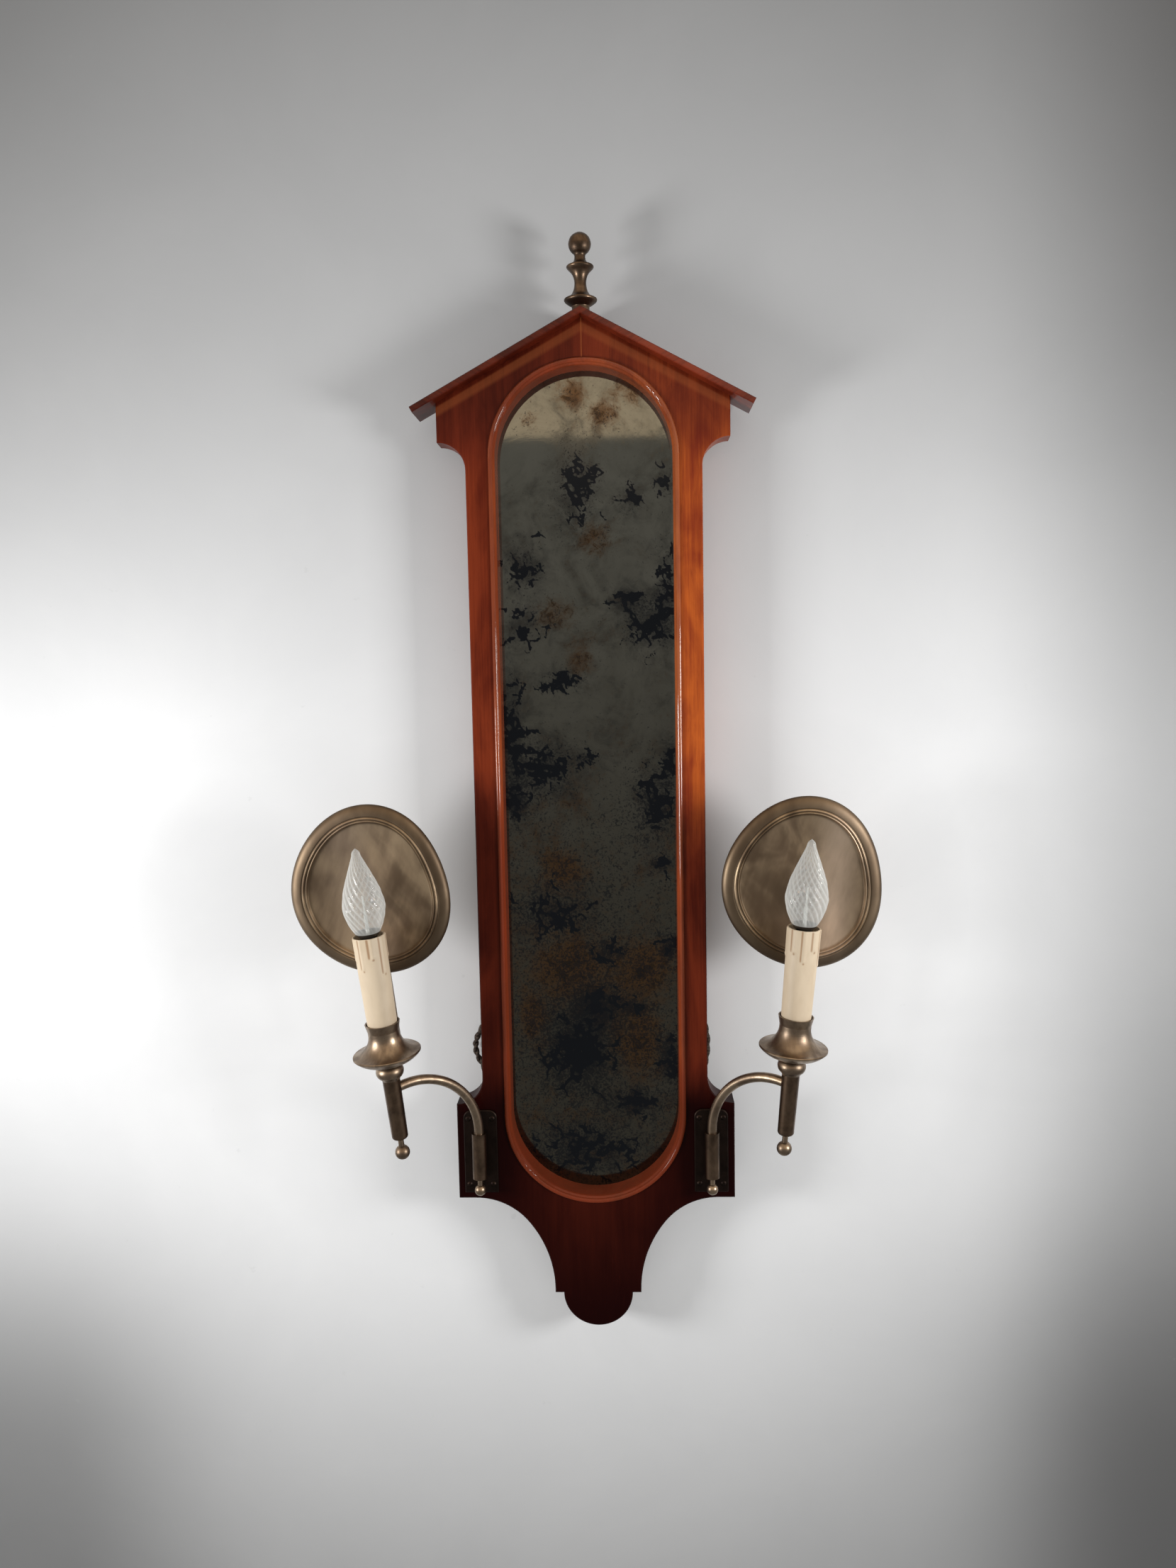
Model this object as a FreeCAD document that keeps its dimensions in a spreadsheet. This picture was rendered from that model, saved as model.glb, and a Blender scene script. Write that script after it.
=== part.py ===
import FreeCAD, Part
import math
import os
import Sketcher
from FreeCAD import Placement, Rotation, Vector

# Girandole mirror: a narrow mahogany frame with a pitched roof, a stadium-shaped
# mirror and two swinging brass candle arms, each with an oval reflector plate.
# Millimetres.  Z is up, the front faces -Y, and the origin is the centre of the
# keyhole in the hanger plate, on the plate's wall side.

DOC = FreeCAD.newDocument("girandole_mirror")
SHEET = DOC.addObject("Spreadsheet::Sheet", "Dims")

DRIVING = {
    # frame boards, levels measured from the hanger hole
    "frame_depth": 26.0,
    "stile_half": 98.3,
    "ear_half": 121.5,
    "opening_half": 79.5,
    "arch_level": -94.5,
    "bowl_level": -659.1,
    "upper_ear_foot": -81.0,
    "lower_ear_top": -648.5,
    "lower_ear_foot": -734.0,
    "tail_cove_half": 107.0,
    "tail_cove_ease": 8.8,
    "tail_neck_half": 38.2,
    "tail_neck_level": -819.0,
    "tail_step_level": -822.0,
    "tail_drop_half": 30.6,
    "edge_ease": 0.9,
    # roof
    "roof_apex": 21.8,
    "roof_half": 141.4,
    "roof_angle": 28.3,
    "roof_thick": 5.0,
    "roof_depth": 40.0,
    "roof_ease": 0.8,
    # finial, heights above the roof apex
    "finial_back": 20.0,
    "finial_foot_half": 7.6,
    "finial_foot_height": 4.4,
    "finial_flare_half": 13.7,
    "finial_flare_height": 9.4,
    "finial_waist_half": 4.8,
    "finial_waist_height": 22.5,
    "finial_ring_half": 11.3,
    "finial_ring_height": 35.5,
    "finial_neck_half": 4.6,
    "finial_neck_height": 41.4,
    "finial_ball_half": 9.3,
    "finial_ball_height": 53.7,
    "dowel_half": 3.0,
    "dowel_rise": 14.0,
    "dowel_sink": 20.0,
    # mirror and its moulding
    "moulding_width": 5.7,
    "moulding_proud": 2.0,
    "bead_half": 2.0,
    "bevel_land": 0.4,
    "bevel_top": 1.6,
    "bevel_foot": 3.4,
    "glass_thick": 3.0,
    "glass_clear": 0.5,
    "board_thick": 3.0,
    "board_lap": 8.0,
    "pin_head_half": 2.6,
    "pin_head_high": 1.4,
    "pin_half": 1.0,
    "pin_sink": 8.0,
    # hanger, bumpers
    "hanger_thick": 2.0,
    "hanger_half": 10.0,
    "hanger_top": 9.2,
    "hanger_foot": -5.6,
    "keyhole_half": 3.5,
    "keyslot_half": 2.0,
    "keyslot_rise": 5.0,
    "key_pocket_half": 4.2,
    "key_pocket_deep": 6.0,
    "hanger_screw_x": 7.2,
    "hanger_screw_half": 1.1,
    "hanger_screw_sink": 12.0,
    "hanger_head_half": 2.2,
    "hanger_head_high": 1.2,
    "bumper_half": 7.0,
    "bumper_high": 12.0,
    "bumper_inset": 11.5,
    "bumper_upper": -66.0,
    "bumper_lower": -718.0,
    # arm brackets
    "socket_inset": 20.5,
    "plate_half": 14.7,
    "plate_top": -653.0,
    "plate_foot": -727.7,
    "plate_thick": 2.5,
    "plate_corner": 7.0,
    "plate_ease": 0.7,
    "plate_screw_x": 10.5,
    "plate_screw_inset": 7.5,
    "plate_screw_half": 1.2,
    "plate_screw_sink": 12.0,
    "plate_head_half": 2.4,
    "plate_head_top_half": 1.4,
    "plate_head_high": 1.0,
    "socket_stand": 12.0,
    "socket_half": 6.3,
    "socket_top": -669.5,
    "socket_foot": -710.0,
    "web_inset_top": 8.0,
    "web_inset_foot": 2.0,
    "socket_well_half": 3.0,
    "socket_well_foot": -704.0,
    "knob_half": 5.0,
    "knob_level": -720.8,
    "knob_neck_half": 2.3,
    # arms: a pin, then one quarter bend that falls a little past its crown
    "pin_foot": -697.0,
    "arm_spring": -668.0,
    "arm_bend": 58.0,
    "arm_half": 4.1,
    "arm_bore_half": 2.6,
    "arm_azimuth_angle": 35.0,
    "reach_left": 78.5,
    "reach_right": 74.5,
    "lean_left_angle": 7.0,
    "lean_right_angle": 5.5,
    # candle assembly, heights along its axis above the arm's joint
    "column_top_half": 7.3,
    "column_foot_half": 6.8,
    "column_top": 9.5,
    "column_foot": -43.0,
    "column_bore_foot": -9.0,
    "column_ball_half": 6.2,
    "column_ball_level": -55.2,
    "column_neck_half": 2.4,
    "stud_half": 1.6,
    "stud_rise": 6.0,
    "stud_room": 0.5,
    "column_round": 2.8,
    "collar_high": 13.0,
    "collar_half": 11.6,
    "collar_edge_half": 8.6,
    "collar_taper": 2.0,
    "nipple_half": 5.0,
    "nipple_bore_half": 3.5,
    "nipple_foot": 6.5,
    "strap_thick": 2.0,
    "strap_half": 6.0,
    "strap_eye_half": 9.0,
    "strap_back": 29.3,
    "strap_top": 184.0,
    "strap_bend": 2.0,
    "cup_rim_half": 28.0,
    "cup_rim_level": 32.9,
    "cup_rim_edge": 0.5,
    "cup_flare": 16.2,
    "cup_foot_half": 10.5,
    "cup_lip_wall": 1.0,
    "cup_waist_half": 12.9,
    "cup_waist_level": 50.0,
    "cup_lip_half": 14.4,
    "cup_lip_level": 59.5,
    "cup_floor_level": 52.0,
    "cup_floor_edge": 1.0,
    "cup_waist_land": 2.5,
    "sleeve_foot_half": 12.1,
    "sleeve_top_half": 13.3,
    "sleeve_high": 82.0,
    "sleeve_wall": 1.6,
    "holder_half": 9.6,
    "holder_high": 74.0,
    "holder_thread": 6.0,
    "cap_half": 6.9,
    "cap_high": 26.0,
    "cap_tip_half": 3.6,
    "cap_cone": 4.0,
    "bulb_sink": 7.0,
    "bulb_neck_half": 7.4,
    "bulb_mouth_half": 9.6,
    "bulb_half": 17.5,
    "bulb_widest": 24.5,
    "bulb_shoulder": 36.0,
    "bulb_tip": 72.5,
    "bulb_tip_round": 3.0,
    "bulb_wall": 0.8,
    "stem_half": 3.0,
    "stem_high": 24.0,
    "filament_half": 0.8,
    "filament_high": 16.0,
    # reflector: an egg-shaped plate set behind the bulb
    "reflector_level": 165.5,
    "reflector_half": 68.7,
    "reflector_egg": 2.5,
    "reflector_egg_angle": -19.5,
    "reflector_oval": 3.5,
    "reflector_oval_angle": -7.6,
    "reflector_corner": 1.8,
    "reflector_corner_angle": -41.9,
    "reflector_thick": 0.8,
    "reflector_hem": 0.8,
    "reflector_flange": 9.5,
    "reflector_fall": 5.0,
    "reflector_bead_wide": 2.2,
    "reflector_bead_high": 0.6,
    "reflector_step_wide": 1.2,
    "reflector_step": 2.5,
    "reflector_seat_depth": 6.0,
    "reflector_dish_inset": 31.0,
    "reflector_seat_inset": 45.0,
    "rivet_half": 1.6,
    "rivet_head_half": 3.0,
    "rivet_top_half": 1.8,
    "rivet_head_high": 1.2,
    "rivet_gap": 20.0,
    # flex
    "core_half": 1.6,
    "core_bend": 2.6,
    "core_turn": 3.2,
    "core_leave_angle": 5.0,
    "core_hole_half": 1.9,
    "flex_half": 2.8,
    "flex_hole_half": 3.2,
    "flex_level": -700.5,
    "flex_stand": 6.3,
    "flex_exit_bend": 5.8,
    "flex_bulge_left": 111.3,
    "flex_bulge_right": 101.5,
    "flex_bulge_rise": 94.0,
    "flex_side_in": 4.5,
    "flex_side_rise": 33.0,
    "flex_turn_rise": 68.0,
    "flex_over_in": 3.5,
    "flex_over_rise": 118.0,
    "flex_lean_in": 15.0,
    "flex_lean_rise": 144.0,
    "flex_cross_in": 37.0,
    "flex_cross_rise": 166.0,
    "flex_entry_half": 40.0,
    "flex_entry_rise": 1.0,
    "block_half": 15.0,
    "block_high": 16.0,
    "block_thick": 8.0,
    "block_level": -520.0,
    "clip_wall": 1.2,
    "clip_wide": 5.0,
    # fits
    "slide_clear": 0.1,
    "turn_clear": 0.05,
    "swing_gap": 0.3,
}

for row, (alias, value) in enumerate(DRIVING.items(), start=1):
    SHEET.set(f"A{row}", alias)
    SHEET.set(f"B{row}", str(value))
    SHEET.setAlias(f"B{row}", alias)
DOC.recompute()


class Size:
    """A length or angle that carries its value and the sheet expression for it."""

    def __init__(self, value, text):
        self.value = float(value)
        self.text = text

    @staticmethod
    def of(other):
        if isinstance(other, Size):
            return other
        return Size(other, repr(float(other)))

    def joined(self, other, sign, value):
        return Size(value, f"({self.text} {sign} {other.text})")

    def __add__(self, other):
        other = Size.of(other)
        return self.joined(other, "+", self.value + other.value)

    def __radd__(self, other):
        return Size.of(other) + self

    def __sub__(self, other):
        other = Size.of(other)
        return self.joined(other, "-", self.value - other.value)

    def __rsub__(self, other):
        return Size.of(other) - self

    def __mul__(self, other):
        other = Size.of(other)
        return self.joined(other, "*", self.value * other.value)

    def __rmul__(self, other):
        return Size.of(other) * self

    def __truediv__(self, other):
        other = Size.of(other)
        return self.joined(other, "/", self.value / other.value)

    def __neg__(self):
        return Size(-self.value, f"(-1 * {self.text})")

    def __float__(self):
        return self.value


def tan_of(angle):
    return Size(math.tan(math.radians(angle.value)), f"tan({angle.text} * 1 deg)")


def cos_of(angle):
    return Size(math.cos(math.radians(angle.value)), f"cos({angle.text} * 1 deg)")


def sin_of(angle):
    return Size(math.sin(math.radians(angle.value)), f"sin({angle.text} * 1 deg)")


def root_of(size):
    return Size(math.sqrt(size.value), f"sqrt({size.text})")


class Dims:
    """The sheet's cells as Size values, read by alias."""

    def __getattr__(self, alias):
        return Size(SHEET.get(alias), f"Dims.{alias}")


D = Dims()
ZERO = Size.of(0.0)
SIDES = {"left": -1, "right": 1}

# planes worked out from the driving dimensions
FRAME_BACK = -D.hanger_thick
FACE = FRAME_BACK - D.frame_depth
GLASS_FRONT = FRAME_BACK - D.glass_thick
COVE = D.ear_half - D.stile_half
UPPER_JOINT = D.upper_ear_foot - COVE
LOWER_JOINT = D.lower_ear_top + COVE
ROOF_FALL = tan_of(D.roof_angle)
ROOF_DROP = D.roof_thick / cos_of(D.roof_angle)
SOCKET_X = D.ear_half - D.socket_inset
SOCKET_Y = FACE - D.socket_stand
BUMPER_X = D.ear_half - D.bumper_inset
FINIAL_Y = FRAME_BACK - D.finial_back
COLLAR_TOP = D.column_top + D.collar_high
CUP_FOOT = COLLAR_TOP + D.strap_thick
SLEEVE_TOP = D.cup_floor_level + D.sleeve_high
CAP_TOP = SLEEVE_TOP - D.bulb_sink
CAP_FOOT = CAP_TOP - D.cap_high


# ---------------------------------------------------------------- sketch helpers

class Line:
    """A straight step of an outline, to the point (x, y)."""

    def __init__(self, x, y):
        self.end = (Size.of(x), Size.of(y))


class Arc:
    """A round step of an outline, to (x, y) about a centre, anticlockwise or not."""

    def __init__(self, x, y, cx, cy, anticlockwise):
        self.end = (Size.of(x), Size.of(y))
        self.centre = (Size.of(cx), Size.of(cy))
        self.anticlockwise = anticlockwise


def place_point(sketch, geometry, vertex, point):
    """Bind one sketch point to two sizes, measured from the sketch's origin."""
    for kind, axis, size in (("DistanceX", -2, point[0]), ("DistanceY", -1, point[1])):
        if size.value == 0.0:
            sketch.addConstraint(Sketcher.Constraint("PointOnObject", geometry, vertex, axis))
            continue
        rule = Sketcher.Constraint(kind, -1, 1, geometry, vertex, size.value)
        index = sketch.addConstraint(rule)
        sketch.setExpression(f"Constraints[{index}]", size.text)


def flat(point):
    return Vector(float(point[0]), float(point[1]), 0)


def trace(sketch, start, steps):
    """Draw a closed outline; the last step ends at the start."""
    here = (Size.of(start[0]), Size.of(start[1]))
    drawn = []
    for step in steps:
        a, b = flat(here), flat(step.end)
        if isinstance(step, Line):
            index = sketch.addGeometry(Part.LineSegment(a, b), False)
            drawn.append((index, 1, 2))
        else:
            c = flat(step.centre)
            first, last = (a, b) if step.anticlockwise else (b, a)
            turn0 = math.atan2(first.y - c.y, first.x - c.x)
            turn1 = math.atan2(last.y - c.y, last.x - c.x)
            circle = Part.Circle(c, Vector(0, 0, 1), (a - c).Length)
            index = sketch.addGeometry(Part.ArcOfCircle(circle, turn0, turn1), False)
            drawn.append((index, 1, 2) if step.anticlockwise else (index, 2, 1))
        here = step.end
    for (index, _, end), (after, begin, _) in zip(drawn, drawn[1:] + drawn[:1]):
        sketch.addConstraint(Sketcher.Constraint("Coincident", index, end, after, begin))
    here = start
    for step, (index, begin, end) in zip(steps, drawn):
        place_point(sketch, index, end, step.end)
        if isinstance(step, Arc):
            free_centre(sketch, index, flat(here), step)
        here = step.end


def free_centre(sketch, index, begin, step):
    """An arc between two placed ends has one freedom left: its centre's way out."""
    chord = flat(step.end) - begin
    if abs(chord.x) > abs(chord.y):
        kind, size = "DistanceY", step.centre[1]
    else:
        kind, size = "DistanceX", step.centre[0]
    if size.value == 0.0:
        axis = -1 if kind == "DistanceY" else -2
        sketch.addConstraint(Sketcher.Constraint("PointOnObject", index, 3, axis))
        return
    rule = sketch.addConstraint(Sketcher.Constraint(kind, -1, 1, index, 3, size.value))
    sketch.setExpression(f"Constraints[{rule}]", size.text)


def ring(sketch, x, y, radius):
    """Draw a circle with a placed centre and a bound radius."""
    x, y, radius = Size.of(x), Size.of(y), Size.of(radius)
    circle = Part.Circle(flat((x, y)), Vector(0, 0, 1), radius.value)
    index = sketch.addGeometry(circle, False)
    place_point(sketch, index, 3, (x, y))
    rule = sketch.addConstraint(Sketcher.Constraint("Radius", index, radius.value))
    sketch.setExpression(f"Constraints[{rule}]", radius.text)


def sketch_on(body, role, name, offset=None):
    """A sketch on one of the body's own origin planes, set off along its normal."""
    sketch = body.newObject("Sketcher::SketchObject", name)
    plane = next(f for f in body.Origin.OriginFeatures if f.Role == role)
    sketch.AttachmentSupport = [(plane, "")]
    sketch.MapMode = "FlatFace"
    if offset is not None:
        offset = Size.of(offset)
        sketch.AttachmentOffset = Placement(Vector(0, 0, float(offset)), Rotation())
        sketch.setExpression("AttachmentOffset.Base.z", offset.text)
    return sketch


def new_body(label):
    body = DOC.addObject("PartDesign::Body", label)
    body.Label = label
    return body


def pad_front(body, name, y_front, y_back, draw):
    """Pad an outline drawn in X and Z from y_back forward to y_front."""
    y_front, y_back = Size.of(y_front), Size.of(y_back)
    sketch = sketch_on(body, "XZ_Plane", name + "_outline", -y_back)
    draw(sketch)
    pad = body.newObject("PartDesign::Pad", name)
    pad.Profile = sketch
    pad.setExpression("Length", (y_back - y_front).text)
    DOC.recompute()
    return pad


def pad_up(body, name, z_foot, z_top, draw):
    """Pad an outline drawn in X and Y from z_foot up to z_top."""
    z_foot, z_top = Size.of(z_foot), Size.of(z_top)
    sketch = sketch_on(body, "XY_Plane", name + "_outline", z_foot)
    draw(sketch)
    pad = body.newObject("PartDesign::Pad", name)
    pad.Profile = sketch
    pad.setExpression("Length", (z_top - z_foot).text)
    DOC.recompute()
    return pad


def turn(body, name, start, steps):
    """Revolve an outline of radius and height about the body's Z axis."""
    sketch = sketch_on(body, "XZ_Plane", name + "_profile")
    trace(sketch, start, steps)
    revolution = body.newObject("PartDesign::Revolution", name)
    revolution.Profile = sketch
    revolution.ReferenceAxis = (sketch, ["V_Axis"])
    revolution.Angle = 360.0
    DOC.recompute()
    return revolution


def pocket_front(body, name, y_front, y_back, draw):
    """Cut an outline drawn in X and Z between two depths."""
    y_front, y_back = Size.of(y_front), Size.of(y_back)
    before = body.Shape.Volume
    sketch = sketch_on(body, "XZ_Plane", name + "_outline", -y_front)
    draw(sketch)
    pocket = body.newObject("PartDesign::Pocket", name)
    pocket.Profile = sketch
    pocket.setExpression("Length", (y_back - y_front).text)
    DOC.recompute()
    if body.Shape.Volume > before - 1e-6:
        raise RuntimeError(f"{name} cut nothing")
    return pocket


def soften(body, name, radius, wanted):
    """Eases those edges of the body's front rim whose middle point is wanted."""
    front = min(vertex.Y for vertex in body.Shape.Vertexes)
    picks = []
    for index, edge in enumerate(body.Shape.Edges, start=1):
        middle = edge.valueAt((edge.FirstParameter + edge.LastParameter) / 2)
        level = max(abs(vertex.Y - front) for vertex in edge.Vertexes)
        if level < 1e-6 and abs(middle.y - front) < 1e-6 and wanted(middle):
            picks.append(f"Edge{index}")
    base = body.Tip
    easing = body.newObject("PartDesign::Chamfer", name)
    easing.Base = (base, picks)
    easing.Size = float(radius)
    easing.setExpression("Size", radius.text)
    DOC.recompute()
    if not picks or not body.Shape.isValid():
        raise RuntimeError(f"{name} eased nothing")
    return easing


def bound_cylinder(name, radius, length, base, axis):
    """A Part cylinder whose radius and length follow the sheet."""
    radius, length = Size.of(radius), Size.of(length)
    cylinder = DOC.addObject("Part::Cylinder", name)
    cylinder.setExpression("Radius", radius.text)
    cylinder.setExpression("Height", length.text)
    turn_to = Rotation(Vector(0, 0, 1), axis)
    cylinder.Placement = Placement(Vector(*[float(v) for v in base]), turn_to)
    return cylinder


def cut_from(label, base, tools):
    """A boolean cut that carries the sub-part's label."""
    tool = tools[0]
    if len(tools) > 1:
        tool = DOC.addObject("Part::MultiFuse", label + "_tools")
        tool.Shapes = tools
    result = DOC.addObject("Part::Cut", label)
    result.Base = base
    result.Tool = tool
    DOC.recompute()
    if result.Shape.Volume > base.Shape.Volume - 1e-6:
        raise RuntimeError(f"{label} lost nothing to its cut")
    result.Label = label
    return result


PARTS = []


def keep(part, label=None):
    if label:
        part.Label = label
    PARTS.append(part)
    return part


def solid_feature(label, shape, placement=None):
    """A sub-part that has no plain feature form, from a shape worked out here."""
    feature = DOC.addObject("Part::Feature", label)
    feature.Shape = shape
    feature.Label = label
    if placement is not None:
        feature.Placement = placement
    return keep(feature)


# ---------------------------------------------------------------- stadium outlines

def stadium(sketch, half):
    """A stadium about the mirror's two arc centres, drawn anticlockwise."""
    trace(sketch, (half, D.bowl_level), [
        Line(half, D.arch_level),
        Arc(-half, D.arch_level, ZERO, D.arch_level, True),
        Line(-half, D.bowl_level),
        Arc(half, D.bowl_level, ZERO, D.bowl_level, True),
    ])


# ---------------------------------------------------------------- frame boards

def roof_under(x):
    """Height of the roof boards' underside at the distance x from the centre."""
    return D.roof_apex - ROOF_DROP - x * ROOF_FALL


def pediment(side, sign):
    """Half of the gable: it is mitred to the other half on the centre line."""
    body = new_body(f"pediment_{side}_board")
    joint_x = sign * D.stile_half
    ear_x = sign * D.ear_half

    def outline(sketch):
        trace(sketch, (ZERO, D.arch_level + D.opening_half), [
            Line(ZERO, roof_under(ZERO)),
            Line(ear_x, roof_under(D.ear_half)),
            Line(ear_x, D.upper_ear_foot),
            Arc(joint_x, UPPER_JOINT, ear_x, UPPER_JOINT, sign > 0),
            Line(sign * D.opening_half, UPPER_JOINT),
            Line(sign * D.opening_half, D.arch_level),
            Arc(ZERO, D.arch_level + D.opening_half, ZERO, D.arch_level, sign > 0),
        ])

    pad_front(body, f"pediment_{side}_pad", FACE, FRAME_BACK, outline)
    soften(body, f"pediment_{side}_easing", D.edge_ease,
           lambda middle: abs(middle.x) > float(D.stile_half))
    return body


def stile(side, sign):
    body = new_body(f"stile_{side}_board")
    inner, outer = sign * D.opening_half, sign * D.stile_half

    def outline(sketch):
        trace(sketch, (inner, LOWER_JOINT), [
            Line(outer, LOWER_JOINT),
            Line(outer, UPPER_JOINT),
            Line(inner, UPPER_JOINT),
            Line(inner, LOWER_JOINT),
        ])

    pad_front(body, f"stile_{side}_pad", FACE, FRAME_BACK, outline)
    soften(body, f"stile_{side}_easing", D.edge_ease,
           lambda middle: abs(middle.x) > float(D.stile_half) - 0.01)
    return body


def big_cove(sign):
    """Two tangent arcs from the ear's foot down to the neck, as (centre, end) pairs."""
    wide = D.tail_cove_half - D.tail_neck_half
    high = D.lower_ear_foot - D.tail_neck_level
    small = wide - D.tail_cove_ease
    large = (wide * wide + high * high - 2 * high * small) / (2 * D.tail_cove_ease)
    small_centre = (D.tail_cove_half, D.lower_ear_foot - small)
    large_centre = (D.tail_neck_half + large, D.tail_neck_level)
    share = large / (large - small)
    meet_x = large_centre[0] + (small_centre[0] - large_centre[0]) * share
    meet_z = large_centre[1] + (small_centre[1] - large_centre[1]) * share
    return ((sign * small_centre[0], small_centre[1]), (sign * meet_x, meet_z),
            (sign * large_centre[0], large_centre[1]))


def apron_rim(middle):
    """Whether an edge's middle lies on the apron's outer rim."""
    if abs(middle.x) > float(D.stile_half):
        return True
    from_bowl = math.hypot(middle.x, middle.z - float(D.bowl_level))
    return middle.z < float(D.lower_ear_foot) and from_bowl > float(D.opening_half) + 1


def apron():
    """The foot board: two ears, two deep coves and a round drop below a step."""
    body = new_body("apron_board")
    ear_cove, ear_meet, neck_cove = big_cove(1)
    left_ear_cove, left_meet, left_neck_cove = big_cove(-1)

    def outline(sketch):
        trace(sketch, (D.opening_half, LOWER_JOINT), [
            Line(D.opening_half, D.bowl_level),
            Arc(-D.opening_half, D.bowl_level, ZERO, D.bowl_level, False),
            Line(-D.opening_half, LOWER_JOINT),
            Line(-D.stile_half, LOWER_JOINT),
            Arc(-D.ear_half, D.lower_ear_top, -D.ear_half, LOWER_JOINT, False),
            Line(-D.ear_half, D.lower_ear_foot),
            Line(-D.tail_cove_half, D.lower_ear_foot),
            Arc(*left_meet, *left_ear_cove, False),
            Arc(-D.tail_neck_half, D.tail_neck_level, *left_neck_cove, False),
            Line(-D.tail_neck_half, D.tail_step_level),
            Line(-D.tail_drop_half, D.tail_step_level),
            Arc(D.tail_drop_half, D.tail_step_level, ZERO, D.tail_step_level, True),
            Line(D.tail_neck_half, D.tail_step_level),
            Line(D.tail_neck_half, D.tail_neck_level),
            Arc(*ear_meet, *neck_cove, False),
            Arc(D.tail_cove_half, D.lower_ear_foot, *ear_cove, False),
            Line(D.ear_half, D.lower_ear_foot),
            Line(D.ear_half, D.lower_ear_top),
            Arc(D.stile_half, LOWER_JOINT, D.ear_half, LOWER_JOINT, False),
            Line(D.opening_half, LOWER_JOINT),
        ])

    pad_front(body, "apron_pad", FACE, FRAME_BACK, outline)
    soften(body, "apron_easing", D.edge_ease, apron_rim)
    return body


def roof_board(side, sign):
    """A thin board on the gable's slope, mitred at the ridge, cut square at the eave."""
    body = new_body(f"roof_{side}_blank")
    eave = D.roof_apex - D.roof_half * ROOF_FALL
    inset_x = D.roof_thick * sin_of(D.roof_angle)
    inset_z = D.roof_thick * cos_of(D.roof_angle)

    def outline(sketch):
        trace(sketch, (ZERO, D.roof_apex), [
            Line(ZERO, D.roof_apex - ROOF_DROP),
            Line(sign * (D.roof_half - inset_x), eave - inset_z),
            Line(sign * D.roof_half, eave),
            Line(ZERO, D.roof_apex),
        ])

    pad_front(body, f"roof_{side}_pad", FRAME_BACK - D.roof_depth, FRAME_BACK, outline)
    soften(body, f"roof_{side}_easing", D.roof_ease, lambda middle: abs(middle.x) > 0.01)
    return body


# ---------------------------------------------------------------- finial

def finial_level(height):
    return D.roof_apex + height


def finial():
    """Turned brass: ball, neck, ring, waist, flare and a foot saddled on the ridge."""
    body = new_body("finial_turned")
    ball = finial_level(D.finial_ball_height)
    neck_top = ball - root_of(D.finial_ball_half * D.finial_ball_half
                              - D.finial_neck_half * D.finial_neck_half)
    ring_level = finial_level(D.finial_ring_height)
    flare = finial_level(D.finial_flare_height)
    waist = finial_level(D.finial_waist_height)
    foot_top = finial_level(D.finial_foot_height)
    foot = D.roof_apex - 2 * D.finial_foot_half * ROOF_FALL
    ring_edge = (D.finial_ring_half - D.finial_neck_half) / 4
    flare_edge = (D.finial_flare_half - D.finial_foot_half) / 3
    turn(body, "finial_turning", (ZERO, foot), [
        Line(D.finial_foot_half, foot),
        Line(D.finial_foot_half, foot_top),
        Line(D.finial_flare_half, flare - flare_edge),
        Line(D.finial_flare_half, flare + flare_edge),
        Line(D.finial_waist_half + 2 * flare_edge, flare + 2.5 * flare_edge),
        Line(D.finial_waist_half, waist),
        Line(D.finial_waist_half + ring_edge, ring_level - 4 * ring_edge),
        Line(D.finial_ring_half, ring_level - ring_edge),
        Line(D.finial_ring_half, ring_level + ring_edge),
        Line(D.finial_neck_half, finial_level(D.finial_neck_height)),
        Line(D.finial_neck_half, neck_top),
        Arc(ZERO, ball + D.finial_ball_half, ZERO, ball, True),
        Line(ZERO, foot),
    ])
    body.Placement = Placement(Vector(0, float(FINIAL_Y), 0), Rotation())
    return body


# ---------------------------------------------------------------- mirror

def moulding():
    """The stadium ring round the glass: a bead on its edge, then a bevel inwards."""
    body = new_body("mirror_moulding")
    outer = D.opening_half - D.slide_clear
    inner = outer - D.moulding_width
    front = FACE - D.moulding_proud
    bead_foot = front + D.bead_half

    path = sketch_on(body, "XZ_Plane", "moulding_path")
    stadium(path, outer)

    profile = sketch_on(body, "XY_Plane", "moulding_profile", D.bowl_level)
    trace(profile, (outer, GLASS_FRONT), [
        Line(outer, bead_foot),
        Arc(outer - 2 * D.bead_half, bead_foot, outer - D.bead_half, bead_foot, False),
        Line(inner + D.bevel_land, bead_foot + D.bevel_top),
        Line(inner, bead_foot + D.bevel_foot),
        Line(inner, GLASS_FRONT),
        Line(outer, GLASS_FRONT),
    ])
    pipe = body.newObject("PartDesign::AdditivePipe", "moulding_run")
    pipe.Profile = profile
    pipe.Spine = (path, [])
    DOC.recompute()
    return body


def glass():
    body = new_body("mirror_glass")

    def outline(sketch):
        stadium(sketch, D.opening_half - D.glass_clear)

    pad_front(body, "glass_pad", GLASS_FRONT, FRAME_BACK, outline)
    return body


def backboard():
    body = new_body("backboard_sheet")

    def outline(sketch):
        stadium(sketch, D.opening_half + D.board_lap)

    pad_front(body, "backboard_pad", FRAME_BACK, FRAME_BACK + D.board_thick, outline)
    return body


def pin_spots():
    """Where the backboard's pins stand: down both sides and round both ends."""
    reach = D.opening_half + D.board_lap / 2
    spots = []
    for step in (1, 3, 5, 7):
        level = D.arch_level - (D.arch_level - D.bowl_level) * step / 8
        spots += [(reach, level), (-reach, level)]
    for turn_by, centre in ((45, D.arch_level), (135, D.arch_level),
                            (-45, D.bowl_level), (-135, D.bowl_level)):
        out = math.cos(math.radians(turn_by))
        up = math.sin(math.radians(turn_by))
        spots.append((out * reach, centre + up * reach))
    return spots


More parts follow.
